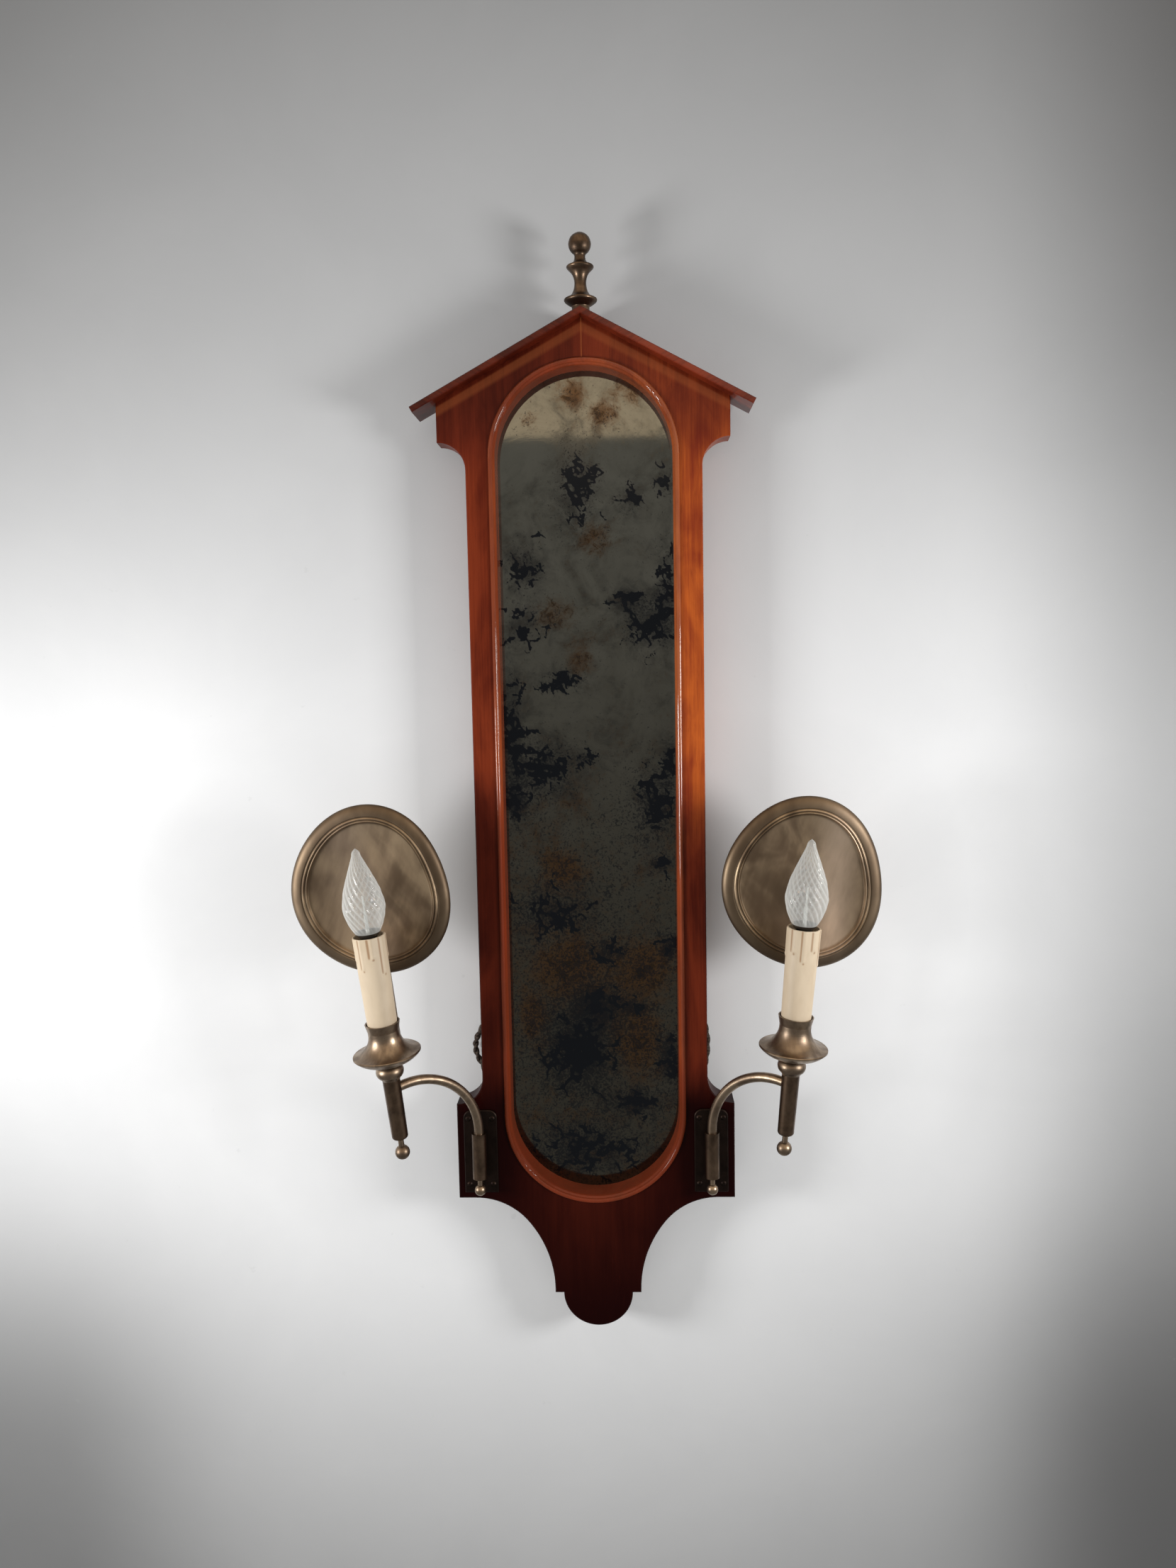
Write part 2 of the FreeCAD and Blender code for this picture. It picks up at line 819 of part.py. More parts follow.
def pins(name, spots, seat, head_half, head_high, shank_half, depth):
    """A group of headed pins driven toward -Y, and the same shanks as cutting tools."""
    solids, tools = [], []
    for x, z in spots:
        base = Vector(float(x), float(seat), float(z))
        toward = Vector(0, -1, 0)
        head = Part.makeCylinder(float(head_half), float(head_high),
                                 base - toward * float(head_high), toward)
        shank = Part.makeCylinder(float(shank_half), float(depth), base, toward)
        solids.append(head.fuse(shank).removeSplitter())
        loose = float(shank_half) + float(D.turn_clear)
        tools.append(Part.makeCylinder(loose, float(depth), base, toward))
    tool = DOC.addObject("Part::Feature", name + "_holes")
    tool.Shape = Part.makeCompound(tools)
    return solids, tool


# ---------------------------------------------------------------- hanger

def key_shape(sketch, half, rise):
    """An upright slot with round ends, its lower end about the hanger hole."""
    trace(sketch, (half, ZERO), [
        Line(half, rise),
        Arc(-half, rise, ZERO, rise, True),
        Line(-half, ZERO),
        Arc(half, ZERO, ZERO, ZERO, True),
    ])


def hanger_plate():
    body = new_body("hanger_plate_blank")

    def outline(sketch):
        trace(sketch, (D.hanger_half, D.hanger_foot), [
            Line(D.hanger_half, D.hanger_top),
            Line(-D.hanger_half, D.hanger_top),
            Line(-D.hanger_half, D.hanger_foot),
            Line(D.hanger_half, D.hanger_foot),
        ])

    pad_front(body, "hanger_pad", FRAME_BACK, ZERO, outline)

    def slot(sketch):
        key_shape(sketch, D.keyslot_half, D.keyslot_rise)

    pocket_front(body, "hanger_slot", FRAME_BACK, ZERO, slot)
    pocket_front(body, "hanger_hole", FRAME_BACK, ZERO,
                 lambda sketch: ring(sketch, ZERO, ZERO, D.keyhole_half))
    return body


def key_pocket():
    """The room behind the hanger plate that takes the wall screw's head."""
    body = new_body("key_pocket_tool")

    def outline(sketch):
        key_shape(sketch, D.key_pocket_half, D.keyslot_rise)

    pad_front(body, "key_pocket_pad", FRAME_BACK - D.key_pocket_deep, FRAME_BACK, outline)
    return body


# ---------------------------------------------------------------- arm brackets

def backplate(side, sign):
    """A brass plate with round top corners, screwed to the lower ear."""
    body = new_body(f"backplate_{side}_blank")
    middle = sign * SOCKET_X
    left, right = middle - D.plate_half, middle + D.plate_half
    corner = D.plate_corner

    def outline(sketch):
        trace(sketch, (right, D.plate_foot), [
            Line(right, D.plate_top - corner),
            Arc(right - corner, D.plate_top, right - corner, D.plate_top - corner, True),
            Line(left + corner, D.plate_top),
            Arc(left, D.plate_top - corner, left + corner, D.plate_top - corner, True),
            Line(left, D.plate_foot),
            Line(right, D.plate_foot),
        ])

    pad_front(body, f"backplate_{side}_pad", FACE - D.plate_thick, FACE, outline)
    soften(body, f"backplate_{side}_easing", D.plate_ease, lambda middle: True)
    pocket_front(body, f"backplate_{side}_flex_hole", FACE - D.plate_thick, FACE,
                 lambda sketch: ring(sketch, middle, D.flex_level, D.flex_hole_half))
    return body


def socket(side, sign):
    """The upright tube that the arm's pin turns in, on a web brazed to the plate."""
    body = new_body(f"socket_{side}_tube")
    bore = D.arm_half + D.turn_clear
    stand = D.socket_stand - D.plate_thick

    def web(sketch):
        half = D.socket_half / 2
        trace(sketch, (half, ZERO), [
            Line(half, stand),
            Line(-half, stand),
            Line(-half, ZERO),
            Line(half, ZERO),
        ])

    pad_up(body, f"socket_{side}_web", D.socket_foot + D.web_inset_foot,
           D.socket_top - D.web_inset_top, web)
    pad_up(body, f"socket_{side}_post", D.socket_foot, D.socket_top,
           lambda sketch: ring(sketch, ZERO, ZERO, D.socket_half))
    sink_down(body, f"socket_{side}_bore", D.socket_top, D.pin_foot, bore)
    sink_down(body, f"socket_{side}_well", D.pin_foot, D.socket_well_foot,
              D.socket_well_half)
    body.Placement = Placement(Vector(sign * float(SOCKET_X), float(SOCKET_Y), 0),
                               Rotation())
    return body


def sink_down(body, name, z_top, z_foot, radius):
    """Bore a round hole down the body's Z axis from one level to another."""
    z_top, z_foot = Size.of(z_top), Size.of(z_foot)
    before = body.Shape.Volume
    sketch = sketch_on(body, "XY_Plane", name + "_outline", z_top)
    ring(sketch, ZERO, ZERO, radius)
    pocket = body.newObject("PartDesign::Pocket", name)
    pocket.Profile = sketch
    pocket.setExpression("Length", (z_top - z_foot).text)
    DOC.recompute()
    if body.Shape.Volume > before - 1e-6:
        raise RuntimeError(f"{name} cut nothing")


def socket_knob(side, sign):
    body = new_body(f"socket_knob_{side}")
    neck_foot = D.knob_level + root_of(D.knob_half * D.knob_half
                                       - D.knob_neck_half * D.knob_neck_half)
    turn(body, f"socket_knob_{side}_turning", (ZERO, D.knob_level - D.knob_half), [
        Arc(D.knob_neck_half, neck_foot, ZERO, D.knob_level, True),
        Line(D.knob_neck_half, D.socket_foot),
        Line(ZERO, D.socket_foot),
        Line(ZERO, D.knob_level - D.knob_half),
    ])
    body.Placement = Placement(Vector(sign * float(SOCKET_X), float(SOCKET_Y), 0),
                               Rotation())
    return body


# ---------------------------------------------------------------- arms

def arm_placement(sign):
    """The arm's own X axis runs outwards from the socket and toward the room."""
    turn_by = -float(D.arm_azimuth_angle) if sign > 0 else 180.0 + float(D.arm_azimuth_angle)
    base = Vector(sign * float(SOCKET_X), float(SOCKET_Y), 0)
    return Placement(base, Rotation(Vector(0, 0, 1), turn_by))


def joint_height(reach):
    """Height of the bend's centreline at the column, past the crown of the arm."""
    past = reach - D.arm_bend
    return D.arm_spring + root_of(D.arm_bend * D.arm_bend - past * past)


def candle_placement(side, sign):
    """Z runs up the leaning candle from the arm's joint; Y points at the wall."""
    reach = getattr(D, f"reach_{side}")
    lean = float(getattr(D, f"lean_{side}_angle"))
    outward = arm_placement(sign).Rotation.multVec(Vector(1, 0, 0))
    joint = arm_placement(sign).multVec(Vector(float(reach), 0, float(joint_height(reach))))
    axis = Vector(0, 0, 1).cross(outward)
    return Placement(joint, Rotation(axis, lean))


def column_cutter(side, sign):
    """The column's outer surface, to saddle the arm's end on it."""
    place = candle_placement(side, sign)
    foot = place.multVec(Vector(0, 0, float(D.column_foot)))
    axis = place.Rotation.multVec(Vector(0, 0, 1))
    return bound_cylinder(f"arm_{side}_saddle", D.column_top_half,
                          D.column_top - D.column_foot, foot, axis)


def arm_tube(side, sign):
    body = new_body(f"arm_{side}_tube")
    reach = getattr(D, f"reach_{side}")
    path = sketch_on(body, "XZ_Plane", f"arm_{side}_path")
    rise = path.addGeometry(Part.LineSegment(flat((ZERO, D.pin_foot)),
                                             flat((ZERO, D.arm_spring))), False)
    centre = flat((D.arm_bend, D.arm_spring))
    end = flat((reach, joint_height(reach)))
    last = math.atan2(end.y - centre.y, end.x - centre.x)
    circle = Part.Circle(centre, Vector(0, 0, 1), float(D.arm_bend))
    bend = path.addGeometry(Part.ArcOfCircle(circle, last, math.pi), False)
    path.addConstraint(Sketcher.Constraint("Coincident", rise, 2, bend, 2))
    place_point(path, rise, 1, (ZERO, D.pin_foot))
    place_point(path, rise, 2, (ZERO, D.arm_spring))
    place_point(path, bend, 1, (reach, joint_height(reach)))
    free = path.addConstraint(Sketcher.Constraint("Radius", bend, float(D.arm_bend)))
    path.setExpression(f"Constraints[{free}]", D.arm_bend.text)

    profile = sketch_on(body, "XY_Plane", f"arm_{side}_profile", D.pin_foot)
    ring(profile, ZERO, ZERO, D.arm_half)
    ring(profile, ZERO, ZERO, D.arm_bore_half)
    pipe = body.newObject("PartDesign::AdditivePipe", f"arm_{side}_run")
    pipe.Profile = profile
    pipe.Spine = (path, [])
    DOC.recompute()
    body.Placement = arm_placement(sign)
    return cut_from(f"arm_{side}", body, [column_cutter(side, sign)])


def arm_end_heading(side, sign):
    """The arm's direction where it meets the column, in the part's frame."""
    reach = float(getattr(D, f"reach_{side}"))
    past = reach - float(D.arm_bend)
    rise = math.sqrt(float(D.arm_bend) ** 2 - past ** 2)
    heading = Vector(rise, 0, -past).normalize()
    return arm_placement(sign).Rotation.multVec(heading)


# ---------------------------------------------------------------- candle pieces

def column(side, sign):
    """A slightly tapered tube with a rounded foot, bored for the nipple from above."""
    body = new_body(f"column_{side}_turned")
    bore = D.nipple_half + D.turn_clear
    stud = D.stud_half + D.turn_clear
    stud_top = D.column_foot + D.stud_rise + D.stud_room
    shoulder = D.column_foot + D.column_round
    turn(body, f"column_{side}_turning", (bore, D.column_top), [
        Line(bore, D.column_bore_foot),
        Line(ZERO, D.column_bore_foot),
        Line(ZERO, stud_top),
        Line(stud, stud_top),
        Line(stud, D.column_foot),
        Line(D.column_foot_half - D.column_round, D.column_foot),
        Arc(D.column_foot_half, shoulder,
            D.column_foot_half - D.column_round, shoulder, True),
        Line(D.column_top_half, D.column_top),
        Line(bore, D.column_top),
    ])
    body.Placement = candle_placement(side, sign)
    heading = arm_end_heading(side, sign)
    hole = bound_cylinder(f"column_{side}_side_hole", D.arm_bore_half,
                          2 * D.column_top_half, body.Placement.Base, -1 * heading)
    return cut_from(f"column_{side}", body, [hole])


def column_ball(side, sign):
    body = new_body(f"column_ball_{side}")
    ball_top = D.column_ball_level + root_of(D.column_ball_half * D.column_ball_half
                                             - D.column_neck_half * D.column_neck_half)
    turn(body, f"column_ball_{side}_turning",
         (ZERO, D.column_ball_level - D.column_ball_half), [
        Arc(D.column_neck_half, ball_top, ZERO, D.column_ball_level, True),
        Line(D.column_neck_half, D.column_foot),
        Line(D.stud_half, D.column_foot),
        Line(D.stud_half, D.column_foot + D.stud_rise),
        Line(ZERO, D.column_foot + D.stud_rise),
        Line(ZERO, D.column_ball_level - D.column_ball_half),
    ])
    return body


def collar(side, sign):
    """The half-round bead between the column and the cup."""
    body = new_body(f"collar_{side}")
    bore = D.nipple_half + D.turn_clear
    bead_foot = D.column_top + D.collar_taper
    half_chord = (COLLAR_TOP - bead_foot) / 2
    swell = D.collar_half - D.collar_edge_half
    radius = (half_chord * half_chord + swell * swell) / (2 * swell)
    turn(body, f"collar_{side}_turning", (bore, D.column_top), [
        Line(D.column_top_half, D.column_top),
        Line(D.collar_edge_half, bead_foot),
        Arc(D.collar_edge_half, COLLAR_TOP,
            D.collar_half - radius, bead_foot + half_chord, True),
        Line(bore, COLLAR_TOP),
        Line(bore, D.column_top),
    ])
    return body


def cup(side, sign):
    """The drip cup: a foot, a wide thin rim, a flare, a waist and an open lip."""
    body = new_body(f"cup_{side}")
    bore = D.nipple_half + D.turn_clear
    under = D.cup_rim_level - D.cup_rim_edge
    over = D.cup_rim_level + D.cup_rim_edge
    reach = D.cup_rim_half - D.cup_foot_half
    rise = under - CUP_FOOT
    dish = (reach * reach + rise * rise) / (2 * rise)
    flare_x = D.cup_waist_half + D.cup_flare
    inset = flare_x - D.cup_rim_half + D.cup_rim_edge
    flare_foot = D.cup_waist_level - root_of(D.cup_flare * D.cup_flare - inset * inset)
    floor_half = D.sleeve_foot_half + D.slide_clear
    turn(body, f"cup_{side}_turning", (bore, CUP_FOOT), [
        Line(D.cup_foot_half, CUP_FOOT),
        Arc(D.cup_rim_half, under, D.cup_foot_half, CUP_FOOT + dish, True),
        Line(D.cup_rim_half, over),
        Line(D.cup_rim_half - D.cup_rim_edge, flare_foot),
        Arc(D.cup_waist_half, D.cup_waist_level, flare_x, D.cup_waist_level, False),
        Line(D.cup_waist_half, D.cup_waist_level + D.cup_waist_land),
        Line(D.cup_lip_half, D.cup_lip_level),
        Line(D.cup_lip_half - D.cup_lip_wall, D.cup_lip_level),
        Line(floor_half, D.cup_floor_level + D.cup_floor_edge),
        Line(floor_half, D.cup_floor_level),
        Line(bore, D.cup_floor_level),
        Line(bore, CUP_FOOT),
    ])
    return body


def sleeve(side, sign):
    """The cream candle sleeve: a tube that widens a little toward its mouth."""
    body = new_body(f"candle_sleeve_{side}")
    foot_bore = D.sleeve_foot_half - D.sleeve_wall
    top_bore = D.sleeve_top_half - D.sleeve_wall
    turn(body, f"candle_sleeve_{side}_turning", (foot_bore, D.cup_floor_level), [
        Line(D.sleeve_foot_half, D.cup_floor_level),
        Line(D.sleeve_top_half, SLEEVE_TOP),
        Line(top_bore, SLEEVE_TOP),
        Line(foot_bore, D.cup_floor_level),
    ])
    return body


def nipple(side, sign):
    """The threaded tube that the column, cup and lampholder are drawn together on."""
    body = new_body(f"nipple_{side}")
    top = D.cup_floor_level + D.holder_thread
    turn(body, f"nipple_{side}_turning", (D.nipple_bore_half, D.nipple_foot), [
        Line(D.nipple_half, D.nipple_foot),
        Line(D.nipple_half, top),
        Line(D.nipple_bore_half, top),
        Line(D.nipple_bore_half, D.nipple_foot),
    ])
    return body


def lampholder(side, sign):
    """A plain holder: threaded foot, open shell for the bulb's cap above."""
    body = new_body(f"lampholder_{side}")
    thread = D.nipple_half + D.turn_clear
    thread_top = D.cup_floor_level + D.holder_thread
    top = D.cup_floor_level + D.holder_high
    shell = D.cap_half + D.turn_clear
    turn(body, f"lampholder_{side}_turning", (thread, D.cup_floor_level), [
        Line(D.holder_half, D.cup_floor_level),
        Line(D.holder_half, top),
        Line(shell, top),
        Line(shell, CAP_FOOT),
        Line(D.nipple_bore_half, CAP_FOOT),
        Line(D.nipple_bore_half, thread_top),
        Line(thread, thread_top),
        Line(thread, D.cup_floor_level),
    ])
    return body


def bulb_cap(side, sign):
    body = new_body(f"bulb_cap_{side}")
    turn(body, f"bulb_cap_{side}_turning", (ZERO, CAP_FOOT), [
        Line(D.cap_tip_half, CAP_FOOT),
        Line(D.cap_half, CAP_FOOT + D.cap_cone),
        Line(D.cap_half, CAP_TOP),
        Line(ZERO, CAP_TOP),
        Line(ZERO, CAP_FOOT),
    ])
    return body


def bulb_outline(inset):
    """The bulb's half outline from neck to tip, drawn in by a wall's thickness."""
    mouth = SLEEVE_TOP
    widest = mouth + D.bulb_widest
    swell = D.bulb_half - D.bulb_mouth_half
    round_by = (D.bulb_widest * D.bulb_widest + swell * swell) / (2 * swell)
    centre_x = D.bulb_half - round_by
    shoulder = mouth + D.bulb_shoulder
    above = D.bulb_shoulder - D.bulb_widest
    shoulder_x = centre_x + root_of((round_by - inset) * (round_by - inset) - above * above)
    mouth_x = centre_x + root_of((round_by - inset) * (round_by - inset)
                                 - D.bulb_widest * D.bulb_widest)
    tip_centre = mouth + D.bulb_tip - D.bulb_tip_round
    return [
        Line(mouth_x, mouth),
        Arc(shoulder_x, shoulder, centre_x, widest, True),
        Line(D.bulb_tip_round - inset, tip_centre),
        Arc(ZERO, tip_centre + D.bulb_tip_round - inset, ZERO, tip_centre, True),
    ]


def bulb_glass(side, sign):
    """A thin blown candle bulb, open at the neck where the cap closes it."""
    body = new_body(f"bulb_glass_{side}")
    inner = bulb_outline(D.bulb_wall)
    back = [step.end for step in inner]
    neck = D.bulb_neck_half - D.bulb_wall
    outer = [Line(D.bulb_neck_half, CAP_TOP)] + bulb_outline(ZERO)
    returning = [
        Line(*back[3]),
        Arc(*back[2], ZERO, inner[3].centre[1], False),
        Line(*back[1]),
        Arc(*back[0], *inner[1].centre, False),
        Line(neck, CAP_TOP),
    ]
    turn(body, f"bulb_glass_{side}_turning", (neck, CAP_TOP), outer + returning)
    return body


def bulb_mount(side, sign):
    """The glass stem inside the bulb, with its filament."""
    body = new_body(f"bulb_mount_{side}")
    top = CAP_TOP + D.stem_high
    turn(body, f"bulb_mount_{side}_turning", (ZERO, CAP_TOP), [
        Line(D.stem_half, CAP_TOP),
        Line(D.stem_half / 2, CAP_TOP + D.stem_high / 2),
        Line(D.stem_half / 2, top),
        Line(D.filament_half, top),
        Line(D.filament_half, top + D.filament_high),
        Line(ZERO, top + D.filament_high),
        Line(ZERO, CAP_TOP),
    ])
    return body


def strap(side, sign):
    """Flat brass: an eye under the cup, a foot that runs back, and an upright."""
    body = new_body(f"reflector_strap_{side}")
    low, high = COLLAR_TOP, CUP_FOOT
    near, far = D.strap_back, D.strap_back + D.strap_thick
    inside, outside = D.strap_bend, D.strap_bend + D.strap_thick
    end = D.strap_top - D.strap_half

    def bent(sketch):
        trace(sketch, (ZERO, low), [
            Line(far - outside, low),
            Arc(far, low + outside, far - outside, low + outside, True),
            Line(far, end),
            Line(near, end),
            Line(near, high + inside),
            Arc(near - inside, high, near - inside, high + inside, False),
            Line(ZERO, high),
            Line(ZERO, low),
        ])

    sketch = sketch_on(body, "YZ_Plane", f"strap_{side}_profile", -D.strap_half)
    bent(sketch)
    bar = body.newObject("PartDesign::Pad", f"strap_{side}_bar")
    bar.Profile = sketch
    bar.setExpression("Length", (2 * D.strap_half).text)
    DOC.recompute()
    pad_up(body, f"strap_{side}_eye", low, high,
           lambda sketch: ring(sketch, ZERO, ZERO, D.strap_eye_half))
    pad_front(body, f"strap_{side}_round_end", near, far,
              lambda sketch: ring(sketch, ZERO, end, D.strap_half))
    sink_down(body, f"strap_{side}_hole", high, low, D.nipple_half + D.turn_clear)
    rivet_hole = D.rivet_half + D.turn_clear
    for spot, level in enumerate(rivet_levels()):
        pocket_front(body, f"strap_{side}_rivet_hole_{spot}", near - D.strap_thick,
                     far + D.strap_thick,
                     lambda sketch: ring(sketch, ZERO, level, rivet_hole))
    return body


def rivet_levels():
    return (D.reflector_level - D.rivet_gap / 2, D.reflector_level + D.rivet_gap / 2)


# ---------------------------------------------------------------- reflector

def plate_reach(turn_by):
    """The egg-shaped plate's half width, by angle from straight down toward -X."""
    def wave(size, count, start):
        return float(size) * math.cos(count * math.radians(turn_by - float(start)))

    return (float(D.reflector_half)
            + wave(D.reflector_egg, 1, D.reflector_egg_angle)
            + wave(D.reflector_oval, 2, D.reflector_oval_angle)
            + wave(D.reflector_corner, 3, D.reflector_corner_angle))


def plate_curve(inset, depth):
    """A closed smooth curve round the plate, drawn in from its edge by an inset."""
    points = []
    for turn_by in range(0, 360, 15):
        reach = plate_reach(turn_by) - inset
        across = -reach * math.sin(math.radians(turn_by))
        up = -reach * math.cos(math.radians(turn_by))
        points.append(Vector(across, depth, float(D.reflector_level) + up))
    curve = Part.BSplineCurve()
    curve.interpolate(points, PeriodicFlag=True)
    return curve.toShape()


def plate_steps():
    """Inset and depth of the plate's front: edge, flange, bead, step, dish and seat."""
    hem = float(D.reflector_hem)
    flange = float(D.reflector_flange)
    bead = flange + float(D.reflector_bead_wide)
    step = bead + float(D.reflector_step_wide)
    seat_depth = float(D.strap_back - D.reflector_thick)
    crest = seat_depth - float(D.reflector_seat_depth)
    bead_top = crest - float(D.reflector_bead_high)
    rim = crest + float(D.reflector_fall)
    dish = crest + float(D.reflector_step)
    return [
        (0.0, rim),
        (hem, rim - hem),
        (flange, crest),
        ((flange + bead) / 2, bead_top),
        (bead, crest),
        (step, dish),
        (float(D.reflector_dish_inset), (dish + seat_depth) / 2 + hem / 2),
        (float(D.reflector_seat_inset), seat_depth),
    ]


def reflector_shape():
    """One sheet of brass, pressed: the front curves and the same curves set back."""
    thick = float(D.reflector_thick)
    front = [plate_curve(inset, depth) for inset, depth in plate_steps()]
    back = [plate_curve(inset, depth + thick) for inset, depth in plate_steps()]
    faces = [Part.makeRuledSurface(a, b) for a, b in zip(front, front[1:])]
    faces += [Part.makeRuledSurface(a, b) for a, b in zip(back, back[1:])]
    faces.append(Part.makeRuledSurface(front[0], back[0]))
    faces.append(Part.Face(Part.Wire(front[-1])))
    faces.append(Part.Face(Part.Wire(back[-1])))
    shell = Part.makeShell([face for piece in faces for face in piece.Faces])
    shell.sewShape()
    solid = Part.makeSolid(shell)
    if solid.Volume < 0:
        solid.reverse()
    behind = float(D.strap_back + D.strap_thick)
    holes = []
    for level in rivet_levels():
        base = Vector(0, 0, float(level))
        radius = float(D.rivet_half + D.turn_clear)
        holes.append(Part.makeCylinder(radius, behind, base, Vector(0, 1, 0)))
    return solid.cut(holes)


def rivets_shape():
    head = float(D.rivet_head_half)
    top = float(D.rivet_top_half)
    high = float(D.rivet_head_high)
    near = float(D.strap_back - D.reflector_thick)
    far = float(D.strap_back + D.strap_thick)
    solids = []
    for level in rivet_levels():
        base = Vector(0, near - high, float(level))
        front = Part.makeCone(top, head, high, base, Vector(0, 1, 0))
        shank = Part.makeCylinder(float(D.rivet_half), far - near,
                                  Vector(0, near, float(level)), Vector(0, 1, 0))
        tail = Part.makeCone(head, top, high, Vector(0, far, float(level)),
                             Vector(0, 1, 0))
        solids.append(front.fuse([shank, tail]).removeSplitter())
    return Part.makeCompound(solids)


# ---------------------------------------------------------------- flex

def rounded_path(points, bends=None):
    """Straight runs joined by tangent arcs; each arc as large as its runs allow."""
    edges, radii = [], []
    here = points[0]
    for index in range(1, len(points) - 1):
        before, corner, after = points[index - 1], points[index], points[index + 1]
        way_in = corner - before
        way_out = after - corner
        shorter = min(way_in.Length, way_out.Length)
        half_turn = way_in.getAngle(way_out) / 2
        radius = 0.45 * shorter / math.tan(half_turn)
        if bends and index in bends:
            radius = bends[index]
        run = radius * math.tan(half_turn)
        way_in.normalize()
        way_out.normalize()
        first, last = corner - way_in * run, corner + way_out * run
        inward = (way_out - way_in).normalize()
        middle = corner + inward * (radius / math.cos(half_turn) - radius)
        edges.append(Part.LineSegment(here, first).toShape())
        edges.append(Part.Arc(first, middle, last).toShape())
        radii.append(round(radius, 1))
        here = last
    edges.append(Part.LineSegment(here, points[-1]).toShape())
    length = sum(edge.Length for edge in edges)
    return Part.Wire(edges), radii, length


def tube_along(name, points, radius, bends=None):
    wire, radii, length = rounded_path(points, bends)
    heading = points[1] - points[0]
    section = Part.Wire(Part.Circle(points[0], heading, radius).toShape())
    tube = wire.makePipeShell([section], True, False)
    ideal = math.pi * radius ** 2 * length
    print(f"{name}: length {length:.1f}, radii {radii}, volume {tube.Volume / ideal:.4f}")
    return tube


def flex_route(side, sign):
    """The flex behind the frame: out of the ear, past the stile, to the block."""
    level = float(D.flex_stand) - float(D.hanger_thick)
    post, top = SOCKET_X, D.flex_level
    spots = [
        (post, top),
        (post - D.flex_side_in, top + D.flex_side_rise),
        (post - D.flex_side_in, top + D.flex_turn_rise),
        (getattr(D, f"flex_bulge_{side}"), top + D.flex_bulge_rise),
        (post - D.flex_over_in, top + D.flex_over_rise),
        (post - D.flex_lean_in, top + D.flex_lean_rise),
        (post - D.flex_cross_in, top + D.flex_cross_rise),
        (D.flex_entry_half, D.block_level),
        (D.block_half, D.block_level + D.flex_entry_rise),
    ]
    return [Vector(sign * float(x), level, float(z)) for x, z in spots]


def root_flex(side, sign):
    """Two thin cores from the socket's well, then the covered flex behind the frame."""
    post = Vector(sign * float(SOCKET_X), float(SOCKET_Y), 0)
    top = float(D.pin_foot - D.swing_gap)
    level = float(D.flex_level)
    plate_back = float(FACE) - 0.5 * float(D.plate_thick)
    cores = [post + Vector(0, 0, top), post + Vector(0, 0, level),
             Vector(post.x, plate_back, level)]
    thin = tube_along(f"flex_{side} cores", cores, float(D.core_half),
                      {1: float(D.core_bend)})
    route = [Vector(post.x, plate_back, level)] + flex_route(side, sign)
    thick = tube_along(f"flex_{side}", route, float(D.flex_half),
                       {1: float(D.flex_exit_bend)})
    return thin.fuse(thick).removeSplitter()


def arm_flex(side, sign):
    """The cores inside the arm: up the pin, round the bend, up into the holder."""
    reach = float(getattr(D, f"reach_{side}"))
    lean = math.radians(float(getattr(D, f"lean_{side}_angle")))
    spring = Vector(0, 0, float(D.arm_spring))
    centre = spring + Vector(float(D.arm_bend), 0, 0)
    joint = Vector(reach, 0, float(joint_height(getattr(D, f"reach_{side}"))))
    up = Vector(math.sin(lean), 0, math.cos(lean))
    spoke = joint - centre
    turned = Rotation(Vector(0, 1, 0), -float(D.core_leave_angle)).multVec(spoke)
    leave = centre + turned
    heading = Vector(turned.z, 0, -turned.x).normalize()
    # where the straight run from the bend crosses the candle's axis
    across = up.x * heading.z - up.z * heading.x
    gap = joint - leave
    along = (up.x * gap.z - up.z * gap.x) / across
    corner = leave + heading * along
    half_turn = heading.getAngle(up) / 2
    bend = float(D.core_turn)
    run = bend * math.tan(half_turn)
    first, last = corner - heading * run, corner + up * run
    inward = (up - heading).normalize()
    middle = corner + inward * (bend / math.cos(half_turn) - bend)
    top = joint + up * float(CAP_FOOT - D.swing_gap)
    foot = Vector(0, 0, float(D.pin_foot))
    crown = centre + Rotation(Vector(0, 1, 0), 45).multVec(Vector(-spoke.Length, 0, 0))
    edges = [
        Part.LineSegment(foot, spring).toShape(),
        Part.Arc(spring, crown, leave).toShape(),
        Part.LineSegment(leave, first).toShape(),
        Part.Arc(first, middle, last).toShape(),
        Part.LineSegment(last, top).toShape(),
    ]
    wire = Part.Wire(edges)
    radius = float(D.core_half)
    section = Part.Wire(Part.Circle(foot, Vector(0, 0, 1), radius).toShape())
    tube = wire.makePipeShell([section], True, False)
    length = sum(edge.Length for edge in edges)
    share = tube.Volume / (math.pi * radius ** 2 * length)
    print(f"arm_flex_{side}: length {length:.1f}, volume {share:.4f}, bend {bend}")
    return tube


def clip_shape(start, end, seat):
    """A saddle clip over a straight stretch of flex, its feet on the seat plane."""
    middle = (start + end) * 0.5
    along = (end - start).normalize()
    reach = float(D.flex_half + D.clip_wall)
    wide = float(D.clip_wide)
    across = Vector(0, 1, 0).cross(along).normalize()
    rise = middle.y + reach - seat
    corner = middle - along * (wide / 2) - across * reach
    corner.y = seat
    turned = Rotation(across, Vector(0, 1, 0), along, "ZXY")
    block = Part.makeBox(2 * reach, rise, wide)
    block.Placement = Placement(corner, turned)
    bore = Part.makeCylinder(float(D.flex_half + D.turn_clear), 4 * wide,
                             middle - along * (2 * wide), along)
    return block.cut(bore)


def clips_shape():
    solids = []
    for side, sign in SIDES.items():
        route = flex_route(side, sign)
        solids.append(clip_shape(route[1], route[2], float(FRAME_BACK)))
        solids.append(clip_shape(route[6], route[7], float(FRAME_BACK + D.board_thick)))
    return Part.makeCompound(solids)


